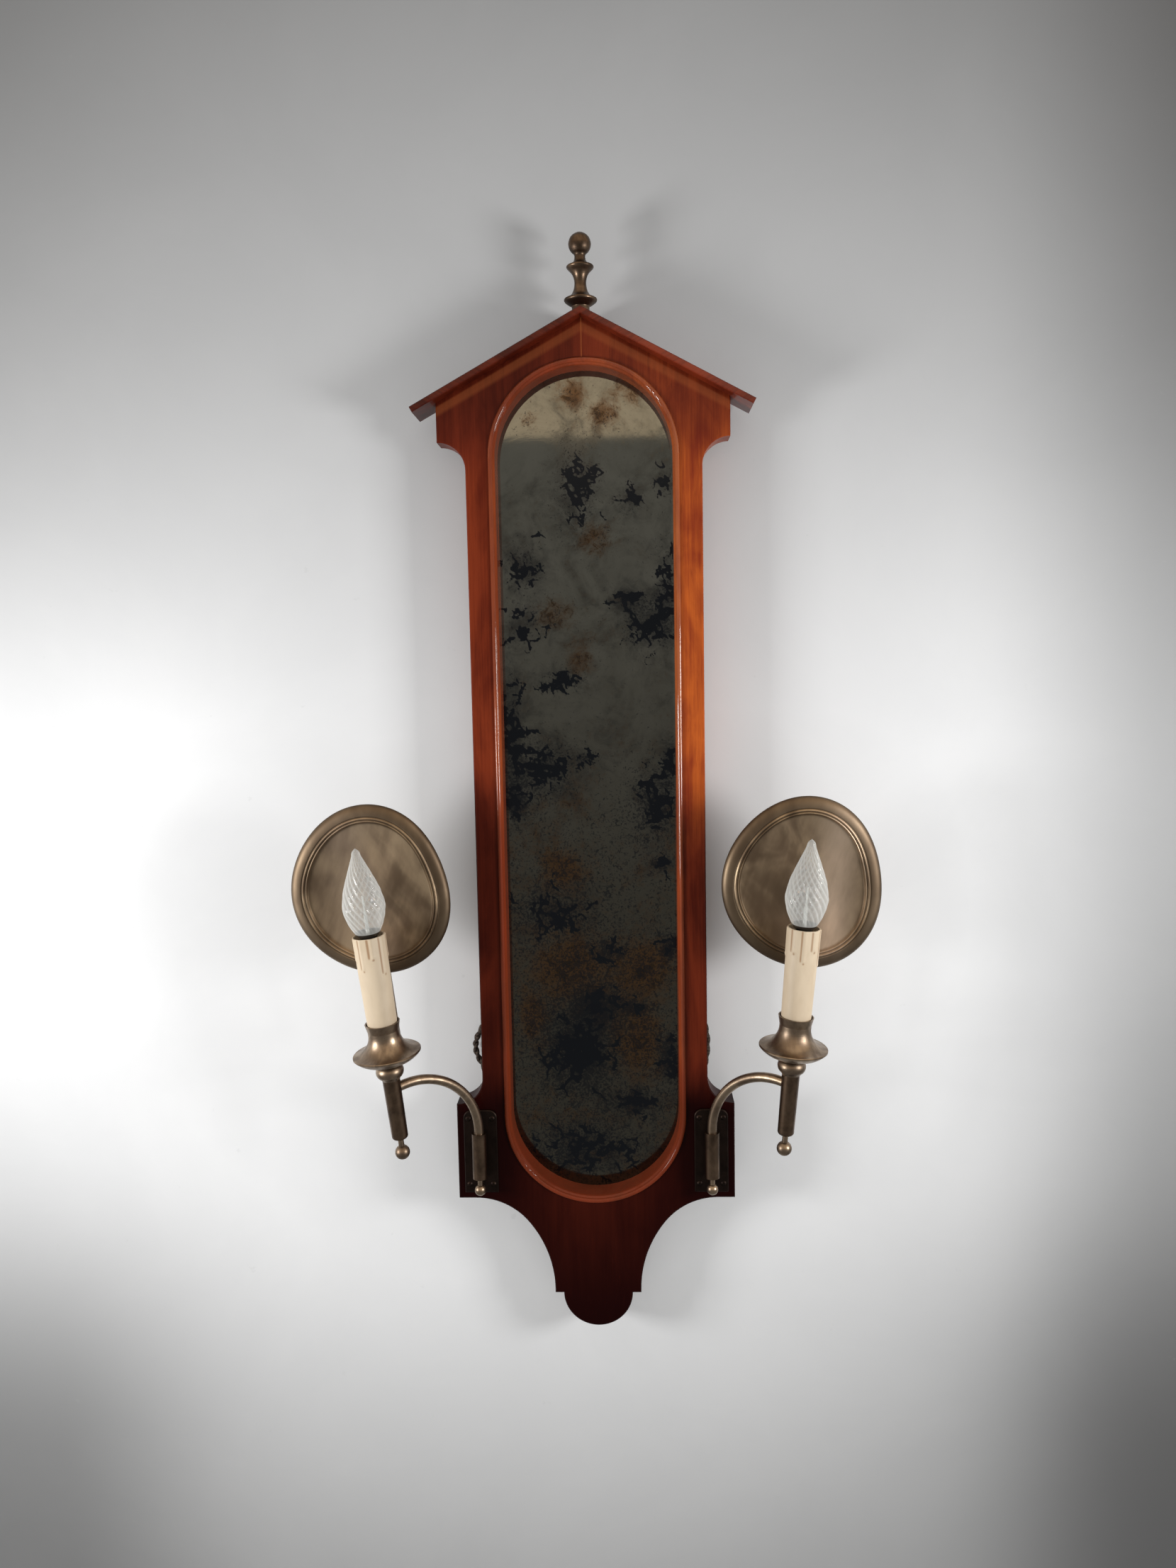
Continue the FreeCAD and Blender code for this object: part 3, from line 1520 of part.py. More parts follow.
def terminal_block():
    """The block that both flexes run into, on the backboard."""
    body = new_body("terminal_block")

    def outline(sketch):
        low, high = D.block_level - D.block_high / 2, D.block_level + D.block_high / 2
        trace(sketch, (D.block_half, low), [
            Line(D.block_half, high),
            Line(-D.block_half, high),
            Line(-D.block_half, low),
            Line(D.block_half, low),
        ])

    seat = FRAME_BACK + D.board_thick
    pad_front(body, "terminal_pad", seat, seat + D.block_thick, outline)
    return body


# ---------------------------------------------------------------- the assembly

def build_frame():
    wall_pins, pin_tool = pins("backboard_pins", pin_spots(),
                               FRAME_BACK + D.board_thick, D.pin_head_half,
                               D.pin_head_high, D.pin_half, D.pin_sink + D.board_thick)
    hanger_spots = [(D.hanger_screw_x, ZERO), (-D.hanger_screw_x, ZERO)]
    hanger_screws, hanger_tool = pins("hanger_screws", hanger_spots, ZERO,
                                      D.hanger_head_half, D.hanger_head_high,
                                      D.hanger_screw_half, D.hanger_screw_sink)
    pocket = key_pocket()
    dowel_foot = D.roof_apex - D.dowel_sink
    dowel_length = D.dowel_sink + D.dowel_rise
    ridge = (ZERO, FINIAL_Y, dowel_foot)
    dowel_hole = bound_cylinder("dowel_hole", D.dowel_half + D.turn_clear, dowel_length,
                                ridge, Vector(0, 0, 1))
    flex_holes = [bound_cylinder(f"flex_hole_{side}", D.flex_hole_half, D.frame_depth,
                                 (sign * SOCKET_X, FACE, D.flex_level), Vector(0, 1, 0))
                  for side, sign in SIDES.items()]
    plate_screws = {}
    for side, sign in SIDES.items():
        spots = [(sign * SOCKET_X + across * D.plate_screw_x, level)
                 for across in (-1, 1)
                 for level in (D.plate_top - D.plate_screw_inset,
                               D.plate_foot + D.plate_screw_inset)]
        plate_screws[side] = plate_screw_set(side, spots)

    for side, sign in SIDES.items():
        keep(cut_from(f"pediment_{side}", pediment(side, sign),
                      [pin_tool, hanger_tool, pocket, dowel_hole]))
        keep(cut_from(f"stile_{side}", stile(side, sign), [pin_tool]))
        keep(cut_from(f"roof_board_{side}", roof_board(side, sign), [dowel_hole]))
    tools = [pin_tool, *flex_holes] + [tool for _, tool in plate_screws.values()]
    keep(cut_from("apron", apron(), tools))

    wedge = ridge_wedge()
    top = cut_from("finial_saddled", finial(), [wedge])
    keep(cut_from("finial", top, [dowel_hole]))
    dowel = bound_cylinder("finial_dowel", D.dowel_half, dowel_length, ridge,
                           Vector(0, 0, 1))
    keep(dowel, "finial_dowel")

    keep(moulding())
    keep(glass())
    keep(cut_from("backboard", backboard(), [pin_tool]))
    solid_feature("backboard_pins", Part.makeCompound(wall_pins))
    keep(cut_from("hanger_plate", hanger_plate(), [hanger_tool]))
    solid_feature("hanger_screws", Part.makeCompound(hanger_screws))
    bumpers = []
    for x in (BUMPER_X, -BUMPER_X):
        for z in (D.bumper_upper, D.bumper_lower):
            base = Vector(float(x), float(FRAME_BACK), float(z))
            bumpers.append(Part.makeCylinder(float(D.bumper_half), float(D.bumper_high),
                                             base, Vector(0, 1, 0)))
    solid_feature("wall_bumpers", Part.makeCompound(bumpers))
    keep(terminal_block())
    solid_feature("flex_clips", clips_shape())
    return plate_screws


def ridge_wedge():
    """The roof's own outline as a thick wedge, to saddle the finial's foot."""
    body = new_body("ridge_wedge_tool")
    half = 2 * D.finial_foot_half

    def outline(sketch):
        trace(sketch, (ZERO, D.roof_apex), [
            Line(-half, D.roof_apex - half * ROOF_FALL),
            Line(-half, D.roof_apex - 3 * half),
            Line(half, D.roof_apex - 3 * half),
            Line(half, D.roof_apex - half * ROOF_FALL),
            Line(ZERO, D.roof_apex),
        ])

    pad_front(body, "ridge_wedge_pad", FRAME_BACK - D.roof_depth, FRAME_BACK, outline)
    return body


def plate_screw_set(side, spots):
    """Four dome-headed screws through a backplate into the wood, heads forward."""
    half = float(D.plate_screw_half)
    sink = float(D.plate_screw_sink)
    high = float(D.plate_head_high)
    solids, tools = [], []
    for x, z in spots:
        base = Vector(float(x), float(FACE - D.plate_thick), float(z))
        inward = Vector(0, 1, 0)
        head = Part.makeCone(float(D.plate_head_top_half), float(D.plate_head_half), high,
                             base - inward * high, inward)
        shank = Part.makeCylinder(half, sink, base, inward)
        solids.append(head.fuse(shank).removeSplitter())
        tools.append(Part.makeCylinder(half + float(D.turn_clear), sink, base, inward))
    tool = DOC.addObject("Part::Feature", f"backplate_screws_{side}_holes")
    tool.Shape = Part.makeCompound(tools)
    return Part.makeCompound(solids), tool


def build_bracket(side, sign, screws, screw_tool):
    keep(cut_from(f"backplate_{side}", backplate(side, sign), [screw_tool]))
    solid_feature(f"backplate_screws_{side}", screws)
    base = Vector(sign * float(SOCKET_X), float(SOCKET_Y), float(D.flex_level))
    hole = bound_cylinder(f"socket_{side}_core_hole", D.core_hole_half, D.socket_stand,
                          base, Vector(0, 1, 0))
    keep(cut_from(f"socket_{side}", socket(side, sign), [hole]))
    keep(socket_knob(side, sign))
    solid_feature(f"flex_{side}", root_flex(side, sign))


CANDLE_PIECES = (column_ball, collar, cup, sleeve, nipple, lampholder, bulb_cap,
                 bulb_glass, bulb_mount, strap)


def build_arm(side, sign):
    keep(arm_tube(side, sign))
    keep(column(side, sign))
    for piece in CANDLE_PIECES:
        body = piece(side, sign)
        body.Placement = candle_placement(side, sign)
        keep(body)
    place = candle_placement(side, sign)
    solid_feature(f"reflector_{side}", reflector_shape(), place)
    solid_feature(f"reflector_rivets_{side}", rivets_shape(), place)
    solid_feature(f"arm_flex_{side}", arm_flex(side, sign), arm_placement(sign))


def check_document():
    """Stop if any feature failed or any sub-part has no sound shape."""
    DOC.recompute()
    for item in DOC.Objects:
        if "Invalid" in item.State or "Error" in item.State:
            raise RuntimeError(f"{item.Label} failed: {item.State}")
    for part in PARTS:
        if part.Shape.isNull() or not part.Shape.isValid() or not part.Shape.Solids:
            raise RuntimeError(f"{part.Label} has no sound shape")


SCREWS = build_frame()
for SIDE, SIGN in SIDES.items():
    build_bracket(SIDE, SIGN, *SCREWS[SIDE])
    build_arm(SIDE, SIGN)
check_document()
os.makedirs("parts", exist_ok=True)
for PART in PARTS:
    PART.Shape.exportStep(f"parts/{PART.Label}.step")
print(len(PARTS), "sub-parts")
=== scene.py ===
"""Girandole mirror: the visible pieces and their finishes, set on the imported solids.

A narrow mahogany frame with a pitched roof holds a stadium-shaped antique
mirror. Two brass candle arms swing from its lower ears, each with a twisted
candle bulb, a dripped sleeve and an oval reflector plate. Metres, Z up, the
front faces -Y and the wall stands at y = 0.010.
"""

import logging
import math
from dataclasses import dataclass
from enum import Enum
from typing import Sequence, Union

import bmesh
import bpy
import numpy as np
from mathutils import Matrix, Vector


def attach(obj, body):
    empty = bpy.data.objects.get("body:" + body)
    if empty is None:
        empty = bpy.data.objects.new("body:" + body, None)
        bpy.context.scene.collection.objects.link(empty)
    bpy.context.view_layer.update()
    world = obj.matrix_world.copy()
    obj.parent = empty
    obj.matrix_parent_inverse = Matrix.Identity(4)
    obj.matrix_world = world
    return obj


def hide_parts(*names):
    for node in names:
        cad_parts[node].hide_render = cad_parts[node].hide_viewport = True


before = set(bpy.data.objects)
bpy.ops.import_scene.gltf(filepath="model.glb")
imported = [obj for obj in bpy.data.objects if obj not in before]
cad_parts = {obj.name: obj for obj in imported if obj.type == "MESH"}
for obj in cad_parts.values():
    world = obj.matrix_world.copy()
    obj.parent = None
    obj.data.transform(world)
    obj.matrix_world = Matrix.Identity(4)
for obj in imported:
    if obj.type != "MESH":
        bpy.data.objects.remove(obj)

log = logging.getLogger("girandole")

Colour = tuple[float, float, float]
Array = np.ndarray

MM = 0.001


class Side(Enum):
    """The two halves of the object; the value is the sign of X."""

    LEFT = -1
    RIGHT = 1

    @property
    def word(self) -> str:
        """The side's word in the names of nodes."""
        return self.name.lower()


class Grain(Enum):
    """How a board's grain lies: the turn in degrees from upright, about Y."""

    UPRIGHT = 0.0
    SLOPE_LEFT = 61.7
    SLOPE_RIGHT = -61.7


# shader maths


def darker(colour: Colour, share: float) -> Colour:
    """A colour with every channel multiplied by a share."""
    return tuple(share * channel for channel in colour)


class Tone:
    """A number in a shader: sums and products of tones add their Math nodes."""

    def __init__(self, recipe: "Recipe", socket: bpy.types.NodeSocket) -> None:
        """Wraps an output socket of the recipe's tree."""
        self.recipe = recipe
        self.socket = socket

    def joined(self, operation: str, first: "Term", second: "Term") -> "Tone":
        """One Math node.

        Args:
            operation: The Math node's operation.
            first: The first value or tone.
            second: The second value or tone.

        Returns:
            The node's result.
        """
        node = self.recipe.node("ShaderNodeMath", {"operation": operation},
                                {0: first, 1: second})
        return Tone(self.recipe, node.outputs[0])

    def __add__(self, other: "Term") -> "Tone":
        """The sum."""
        return self.joined("ADD", self, other)

    def __radd__(self, other: "Term") -> "Tone":
        """The sum, from the right."""
        return self.joined("ADD", other, self)

    def __sub__(self, other: "Term") -> "Tone":
        """The difference."""
        return self.joined("SUBTRACT", self, other)

    def __rsub__(self, other: "Term") -> "Tone":
        """The difference, from the right."""
        return self.joined("SUBTRACT", other, self)

    def __mul__(self, other: "Term") -> "Tone":
        """The product."""
        return self.joined("MULTIPLY", self, other)

    def __rmul__(self, other: "Term") -> "Tone":
        """The product, from the right."""
        return self.joined("MULTIPLY", other, self)

    def __pow__(self, other: "Term") -> "Tone":
        """The power."""
        return self.joined("POWER", self, other)

    def size(self) -> "Tone":
        """The value without its sign."""
        return self.joined("ABSOLUTE", self, 0.0)

    def sine(self) -> "Tone":
        """The sine."""
        return self.joined("SINE", self, 0.0)

    def over(self, low: float, high: float) -> "Tone":
        """A smooth step: 0 at low, 1 at high, with an S curve between.

        Args:
            low: The value that becomes 0.
            high: The value that becomes 1.

        Returns:
            The stepped value.
        """
        node = self.recipe.node(
            "ShaderNodeMapRange", {"interpolation_type": "SMOOTHSTEP"},
            {"Value": self, "From Min": low, "From Max": high, "To Min": 0.0,
             "To Max": 1.0})
        return Tone(self.recipe, node.outputs[0])


Term = Union[Tone, float, int]
Feed = Union[Tone, bpy.types.NodeSocket, float, int, Sequence[float]]


class Recipe:
    """A node tree under construction, with one method that adds any node."""

    def __init__(self, tree: bpy.types.NodeTree) -> None:
        """Starts from an emptied tree."""
        self.tree = tree
        tree.nodes.clear()

    @classmethod
    def of_material(cls, name: str) -> tuple["Recipe", bpy.types.Material]:
        """A new material and the recipe of its tree.

        Args:
            name: The material's name.

        Returns:
            The recipe and the material.
        """
        material = bpy.data.materials.new(name)
        material.use_nodes = True
        return cls(material.node_tree), material

    def show(self, surface_socket: bpy.types.NodeSocket,
             kind: str = "ShaderNodeOutputMaterial") -> None:
        """Ends the tree with its output node."""
        self.node(kind, None, {"Surface": surface_socket})

    def node(self, kind: str, settings: dict[str, object] | None = None,
             feeds: dict[Union[str, int], Feed] | None = None) -> bpy.types.Node:
        """Adds a node: its type, its settings first, then its sockets.

        Args:
            kind: The node's type name.
            settings: Attributes of the node.
            feeds: Values or links by socket name or number.

        Returns:
            The node.
        """
        node = self.tree.nodes.new(kind)
        for name, value in (settings or {}).items():
            setattr(node, name, value)
        for key, feed in (feeds or {}).items():
            self.feed(node.inputs[key], feed)
        return node

    def feed(self, socket: bpy.types.NodeSocket, feed: Feed) -> None:
        """Gives a socket a value or a link.

        Args:
            socket: The socket to fill.
            feed: A number, a tuple of numbers, a tone or a socket.
        """
        feed = feed.socket if isinstance(feed, Tone) else feed
        if isinstance(feed, bpy.types.NodeSocket):
            self.tree.links.new(feed, socket)
        elif isinstance(feed, (int, float)):
            socket.default_value = float(feed)
        else:
            values = tuple(feed)
            if len(values) == 3 and len(socket.default_value) == 4:
                values += (1.0,)
            socket.default_value = values

    def place(self, turn: Colour = (0.0, 0.0, 0.0), scale: Colour = (1.0, 1.0, 1.0),
              ) -> bpy.types.NodeSocket:
        """Object coordinates, turned by radians and then scaled.

        Args:
            turn: The turn about each axis.
            scale: The scale along each turned axis.

        Returns:
            The vector's socket.
        """
        where = self.node("ShaderNodeTexCoord").outputs["Object"]
        for socket, value, idle in (("Rotation", turn, 0.0), ("Scale", scale, 1.0)):
            if any(part != idle for part in value):
                where = self.node("ShaderNodeMapping", {"vector_type": "POINT"},
                                  {"Vector": where, socket: value}).outputs[0]
        return where

    def axes(self) -> tuple[Tone, Tone, Tone]:
        """The object coordinates as three tones, in metres."""
        split = self.node("ShaderNodeSeparateXYZ", None, {0: self.place()})
        return tuple(Tone(self, out) for out in split.outputs)

    def noise(self, where: Feed, scale: float, detail: float = 3.0, rough: float = 0.5,
              distort: float = 0.0) -> Tone:
        """Fractal noise from 0 to 1.

        Args:
            where: The place that the noise is read at.
            scale: How many features to a unit of it.
            detail: How many finer layers.
            rough: How strong the finer layers are.
            distort: How far the place is pushed about.

        Returns:
            The noise.
        """
        node = self.node("ShaderNodeTexNoise", {"noise_dimensions": "3D"},
                         {"Vector": where, "Scale": scale, "Detail": detail,
                          "Roughness": rough, "Distortion": distort})
        return Tone(self, node.outputs[0])

    def attribute(self, name: str) -> Tone:
        """A number stored on the mesh's points."""
        node = self.node("ShaderNodeAttribute", {"attribute_name": name})
        return Tone(self, node.outputs["Fac"])

    def mix(self, share: Feed, first: Feed, second: Feed) -> bpy.types.NodeSocket:
        """A colour between two colours.

        Args:
            share: How much of the second colour.
            first: The colour at 0.
            second: The colour at 1.

        Returns:
            The mixed colour's socket.
        """
        node = self.node("ShaderNodeMix", {"data_type": "RGBA", "clamp_factor": True},
                         {0: share, 6: first, 7: second})
        return node.outputs[2]

    def bump(self, height: Tone, depth: float, strength: float = 1.0,
             ) -> bpy.types.NodeSocket:
        """A normal tipped by a height; depth is in metres for a height of 1.

        Args:
            height: The height, about 0 to 1.
            depth: The depth in metres of a height of 1.
            strength: How much of it counts.

        Returns:
            The normal's socket.
        """
        node = self.node("ShaderNodeBump", None,
                         {"Height": height, "Distance": depth, "Strength": strength})
        return node.outputs[0]


def finish_material(name: str, paint: "Finish") -> bpy.types.Material:
    """Makes a material and lets a finish paint its tree.

    Args:
        name: The material's name.
        paint: The finish.

    Returns:
        The material.
    """
    recipe, material = Recipe.of_material(name)
    shader = recipe.node("ShaderNodeBsdfPrincipled", None, paint.sockets(recipe))
    recipe.show(shader.outputs[0])
    return material


class Finish:
    """What every finish has: the feeds of the surface shader's sockets."""

    def sockets(self, recipe: Recipe) -> dict[str, Feed]:
        """The shader's feeds by socket name."""
        raise NotImplementedError


# finishes


@dataclass(frozen=True)
class Mahogany(Finish):
    """French-polished mahogany with drawn-out grain, and painted shade that makes it
    darker towards the foot.
    """

    grain: Grain = Grain.UPRIGHT
    warm: Colour = (0.56, 0.118, 0.018)
    deep: Colour = (0.215, 0.024, 0.008)
    # painted shade: a redder copy of the wood, used where it lies in shade
    shaded_red: Colour = (0.43, 0.058, 0.019)
    # painted shade at its darkest, towards the foot
    foot: Colour = (0.010, 0.0007, 0.0006)
    gloss: float = 0.12
    coat: float = 0.3
    # lift raises the painted light all over
    lift: float = 0.0
    gable: bool = False
    # painted light: the paler band below the roof's edge; also the pale mitre line's
    # colour
    worn: Colour = (0.36, 0.095, 0.026)
    ridge: float = 0.01612
    slope: float = 0.5384
    lean: float = 0.8805

    def sockets(self, recipe: Recipe) -> dict[str, Feed]:
        """Grain is noise stretched along the board; painted light and shade make the tone
        fall with height and on the left.

        A gable board has a paler band below the roof, painted light for the lit
        underside of the roof's overhang, where the distance from the roof's
        underside is lean (ridge - slope |x| - z), and a pale mitre line on the
        centre. The ridge is the underside's height there, and lean is the cosine
        of its slope.

        Args:
            recipe: The tree that the nodes go into.

        Returns:
            The shader's feeds by socket name.
        """
        turn = (0.0, math.radians(self.grain.value), 0.0)
        fibre = recipe.noise(recipe.place(turn, (560.0, 560.0, 12.0)), 1.0, 4.0, 0.6)
        figure = recipe.noise(recipe.place(turn, (34.0, 34.0, 6.5)), 1.0, 5.0, 0.6, 1.3)
        cloud = recipe.noise(recipe.place(turn, (1.0, 1.0, 0.45)), 22.0, 4.0, 0.55, 0.8)
        pore = recipe.noise(recipe.place(turn, (1500.0, 1500.0, 60.0)), 1.0, 2.0, 0.5)
        across, _, height = recipe.axes()
        right = across.over(-0.03, 0.05)
        # painted light and shade: full above the reflector plates, lower in their shadow,
        # none below the ears, dimmer at the top of the pediments
        lit = 0.42 * height.over(-0.655, -0.60) + 0.58 * height.over(-0.45, -0.34)
        lit = lit * (1.0 - 0.45 * height.over(-0.12, -0.05))
        # painted light: a pool of light on the moulding's bowl at the mirror's foot
        bowl_light = (1.0 - across.size().over(0.01, 0.10)) * height.over(-0.85, -0.72)
        # painted light: the right-hand side lit more than the left, all of it raised by
        # lift
        lit = lit * (0.47 + 0.53 * right) + self.lift
        lit = lit + 0.09 * bowl_light * (1.0 - height.over(-0.70, -0.62))
        share = (figure * 0.5 + fibre * 0.25 + cloud * 0.42).over(0.42, 0.76)
        body = recipe.mix(share, self.deep, self.warm)
        # painted shade: the redder shaded copy where lit is low, the foot colour where it
        # is lowest
        shaded_red = recipe.mix(share, darker(self.deep, 0.75), self.shaded_red)
        shade = recipe.mix(lit, self.foot,
                           recipe.mix(lit.over(0.30, 0.95), shaded_red, body))
        streak = pore.over(0.60, 0.74) * 0.35
        if self.gable:
            # painted light: a paler band just below the roof's edge, for the lit
            # underside of its overhang
            below = (self.ridge - across.size() * self.slope - height) * self.lean
            band = below.over(0.002, 0.004) * (1.0 - below.over(0.0075, 0.0115))
            seam = 1.0 - across.size().over(0.0002, 0.0007)
            pale = 1.0 - (1.0 - band * 0.28) * (1.0 - seam * 0.55)
            shade = recipe.mix(pale, shade, self.worn)
        return {
            "Base Color": recipe.mix(streak, shade, darker(self.deep, 0.2)),
            "Roughness": 0.34 + 0.12 * fibre,
            "Specular IOR Level": 0.05,
            # the coat's sheen follows the painted light
            "Coat Weight": 0.025 + self.coat * lit,
            "Coat Roughness": self.gloss,
            "Normal": recipe.bump(fibre * 0.5 - streak, 0.0001, 0.5),
        }


@dataclass(frozen=True)
class AgedBrass(Finish):
    """Lacquered brass gone brown: soft mottling, finer smudges, dark flecks."""

    light: Colour = (0.40, 0.305, 0.215)
    dull: Colour = (0.155, 0.112, 0.080)
    rough: float = 0.3
    cloud: float = 38.0
    turned: float = 0.0

    def sockets(self, recipe: Recipe) -> dict[str, Feed]:
        """Clouds mix the light and the dull brass; turned adds lathe lines.

        Args:
            recipe: The tree that the nodes go into.

        Returns:
            The shader's feeds by socket name.
        """
        cloud = recipe.noise(recipe.place(), self.cloud, 4.0, 0.6, 0.6)
        smudge = recipe.noise(recipe.place((0.5, 0.0, 0.3), (1.0, 1.0, 0.25)), 210.0, 3.0)
        spot = recipe.noise(recipe.place(), 700.0, 3.0, 0.6)
        share = (cloud * 0.8 + smudge * 0.35).over(0.36, 0.84)
        fleck = spot.over(0.64, 0.74) * 0.55
        line = recipe.noise(recipe.place(scale=(12.0, 12.0, 2600.0)), 1.0, 2.0)
        return {
            "Base Color": recipe.mix(fleck, recipe.mix(share, self.dull, self.light),
                                     darker(self.dull, 0.5)),
            "Metallic": 1.0,
            "Roughness": self.rough + 0.16 * (1.0 - share) + 0.1 * fleck,
            "Normal": recipe.bump(line * self.turned + spot * 0.25, 0.00008, 0.5),
        }


@dataclass(frozen=True)
class SheetBrass(Finish):
    """Pressed sheet gone olive brown: broad soft smudges, a darker flange, a painted
    upright highlight.
    """

    light: Colour = (0.50, 0.375, 0.245)
    dull: Colour = (0.150, 0.106, 0.070)
    # the painted highlight's colour
    rubbed: Colour = (0.78, 0.61, 0.47)
    rough: float = 0.40

    def sockets(self, recipe: Recipe) -> dict[str, Feed]:
        """Broad upright clouds, finer smudges, the flange's own attribute and a painted
        highlight.

        Args:
            recipe: The tree that the nodes go into.

        Returns:
            The shader's feeds by socket name.
        """
        broad = recipe.noise(recipe.place((0.0, 0.35, 0.0), (1.0, 1.0, 0.55)), 26.0, 3.0,
                             0.5, 0.7)
        smudge = recipe.noise(recipe.place((0.0, -0.3, 0.0), (1.0, 1.0, 0.3)), 120.0, 3.0)
        spot = recipe.noise(recipe.place(), 900.0, 2.0, 0.5)
        flange = recipe.attribute("flange")
        groove = recipe.attribute("groove")
        share = (broad * 0.85 + smudge * 0.25).over(0.38, 0.74) * (1.0 - 0.6 * flange)
        # painted highlight: the plate's bright upright band, broken up by the smudges
        bright = recipe.attribute("rubbed") * (0.35 + 0.9 * smudge)
        tone = recipe.mix(bright, recipe.mix(share, self.dull, self.light), self.rubbed)
        tone = recipe.mix(flange * 0.45, tone, darker(self.dull, 0.5))
        return {
            "Base Color": recipe.mix(groove * 0.6, tone, darker(self.dull, 0.4)),
            "Metallic": 1.0,
            "Roughness": self.rough + 0.12 * (1.0 - share),
            "Normal": recipe.bump(spot * 0.3 + smudge * 0.4, 0.00006, 0.5),
        }


@dataclass(frozen=True)
class MirrorSilver(Finish):
    """Old silvering: black branching tarnish, rust stains and a fine bloom."""

    silver: Colour = (0.262, 0.254, 0.213)
    low: Colour = (0.105, 0.098, 0.078)
    black: Colour = (0.026, 0.029, 0.035)
    rust: Colour = (0.150, 0.078, 0.034)
    umber: Colour = (0.060, 0.040, 0.024)

    def sockets(self, recipe: Recipe) -> dict[str, Feed]:
        """Each stain is noise that passes a threshold lowered by its painted field.

        Args:
            recipe: The tree that the nodes go into.

        Returns:
            The shader's feeds by socket name.
        """
        tarnish = recipe.attribute("tarnish")
        stain = recipe.attribute("stain")
        height = recipe.axes()[2]
        branch = recipe.noise(recipe.place(), 68.0, 10.0, 0.70, 1.1)
        twig = recipe.noise(recipe.place((0.0, 0.6, 0.0)), 210.0, 8.0, 0.72, 1.6)
        grit = recipe.noise(recipe.place(), 560.0, 4.0, 0.7)
        veil = recipe.noise(recipe.place(), 22.0, 7.0, 0.66, 0.8)
        fleck = recipe.noise(recipe.place((0.3, 0.0, 0.5)), 125.0, 8.0, 0.74, 0.8)
        worn = 1.0 - height.over(-0.44, -0.28)
        fern = recipe.attribute("fern") * (1.0 - height.over(-0.096, -0.078))
        black = (fern * 0.72 + twig * 0.52 + tarnish * 0.17
                 + worn * 0.05).over(0.64, 0.74)
        haze = (branch * 0.6 + veil * 0.4 + tarnish * 0.22).over(0.46, 0.78) * 0.6
        specks = (twig * 0.6 + grit * 0.4 + tarnish * 0.10 + stain * 0.06
                  + worn * 0.07).over(0.575, 0.655)
        brown = (veil * 0.5 + fleck * 0.5 + stain * 0.30 + worn * 0.07).over(0.52, 0.80)
        clot = (fleck + stain * 0.12).over(0.60, 0.68) * brown
        ground = recipe.mix(height.over(-0.54, -0.10), self.low, self.silver)
        bloom = recipe.mix(veil.over(0.30, 0.72) * 0.5, ground, self.low)
        rusty = recipe.mix(clot * 0.75, recipe.mix(brown * 0.85, bloom, self.rust),
                           self.umber)
        dark = 1.0 - (1.0 - black) * (1.0 - specks * 0.75) * (1.0 - haze)
        return {
            "Base Color": recipe.mix(dark, rusty, self.black),
            "Metallic": 1.0,
            "Roughness": 0.03 + 0.12 * brown + 0.15 * dark,
            "Normal": recipe.bump(veil, 0.00006, 0.2),
        }


@dataclass(frozen=True)
class WaxSleeve(Finish):
    """Cream candle sleeve: browned runs beside the drips, a dusty foot."""

    cream: Colour = (0.72, 0.585, 0.42)
    brown: Colour = (0.33, 0.17, 0.075)
    dust: Colour = (0.55, 0.42, 0.28)

    def sockets(self, recipe: Recipe) -> dict[str, Feed]:
        """The run attribute marks the browned edge of every drip.

        Args:
            recipe: The tree that the nodes go into.

        Returns:
            The shader's feeds by socket name.
        """
        run = recipe.attribute("run")
        foot = recipe.attribute("foot")
        cloud = recipe.noise(recipe.place(scale=(1.0, 1.0, 0.35)), 120.0, 4.0)
        fine = recipe.noise(recipe.place(), 900.0, 3.0)
        dusty = cloud.over(0.35, 0.75) * 0.35 + foot * 0.35
        base = recipe.mix(dusty, self.cream, self.dust)
        return {
            "Base Color": recipe.mix((run * (0.7 + 0.6 * cloud)).over(0.25, 1.0) * 0.8,
                                     base, self.brown),
            "Roughness": 0.42 + 0.12 * fine,
            "Normal": recipe.bump(fine * 0.3 + cloud, 0.00012, 0.4),
        }


@dataclass(frozen=True)
class BulbGlass(Finish):
    """Thin blown glass: see-through in front, whiter where it turns away."""

    clear: Colour = (0.80, 0.81, 0.78)
    cement: Colour = (0.035, 0.028, 0.022)
    thin: float = 0.24
    edge: float = 0.76

    def sockets(self, recipe: Recipe) -> dict[str, Feed]:
        """The alpha grows with the turn away and along each rib's flank, whitening the
        glass there as painted reflection.

        Args:
            recipe: The tree that the nodes go into.

        Returns:
            The shader's feeds by socket name.
        """
        turn = recipe.node("ShaderNodeLayerWeight", None, {"Blend": 0.35})
        away = Tone(recipe, turn.outputs["Facing"])
        rib = recipe.attribute("rib")
        neck = recipe.attribute("neck")
        return {
            "Base Color": recipe.mix(neck, self.clear, self.cement),
            "Roughness": 0.06,
            "IOR": 1.5,
            # painted reflection: the glass whitens where it turns away and along its ribs
            "Alpha": self.thin + (self.edge - self.thin) * away + 0.24 * rib + neck,
            "Coat Weight": 0.5,
            "Coat Roughness": 0.03,
        }


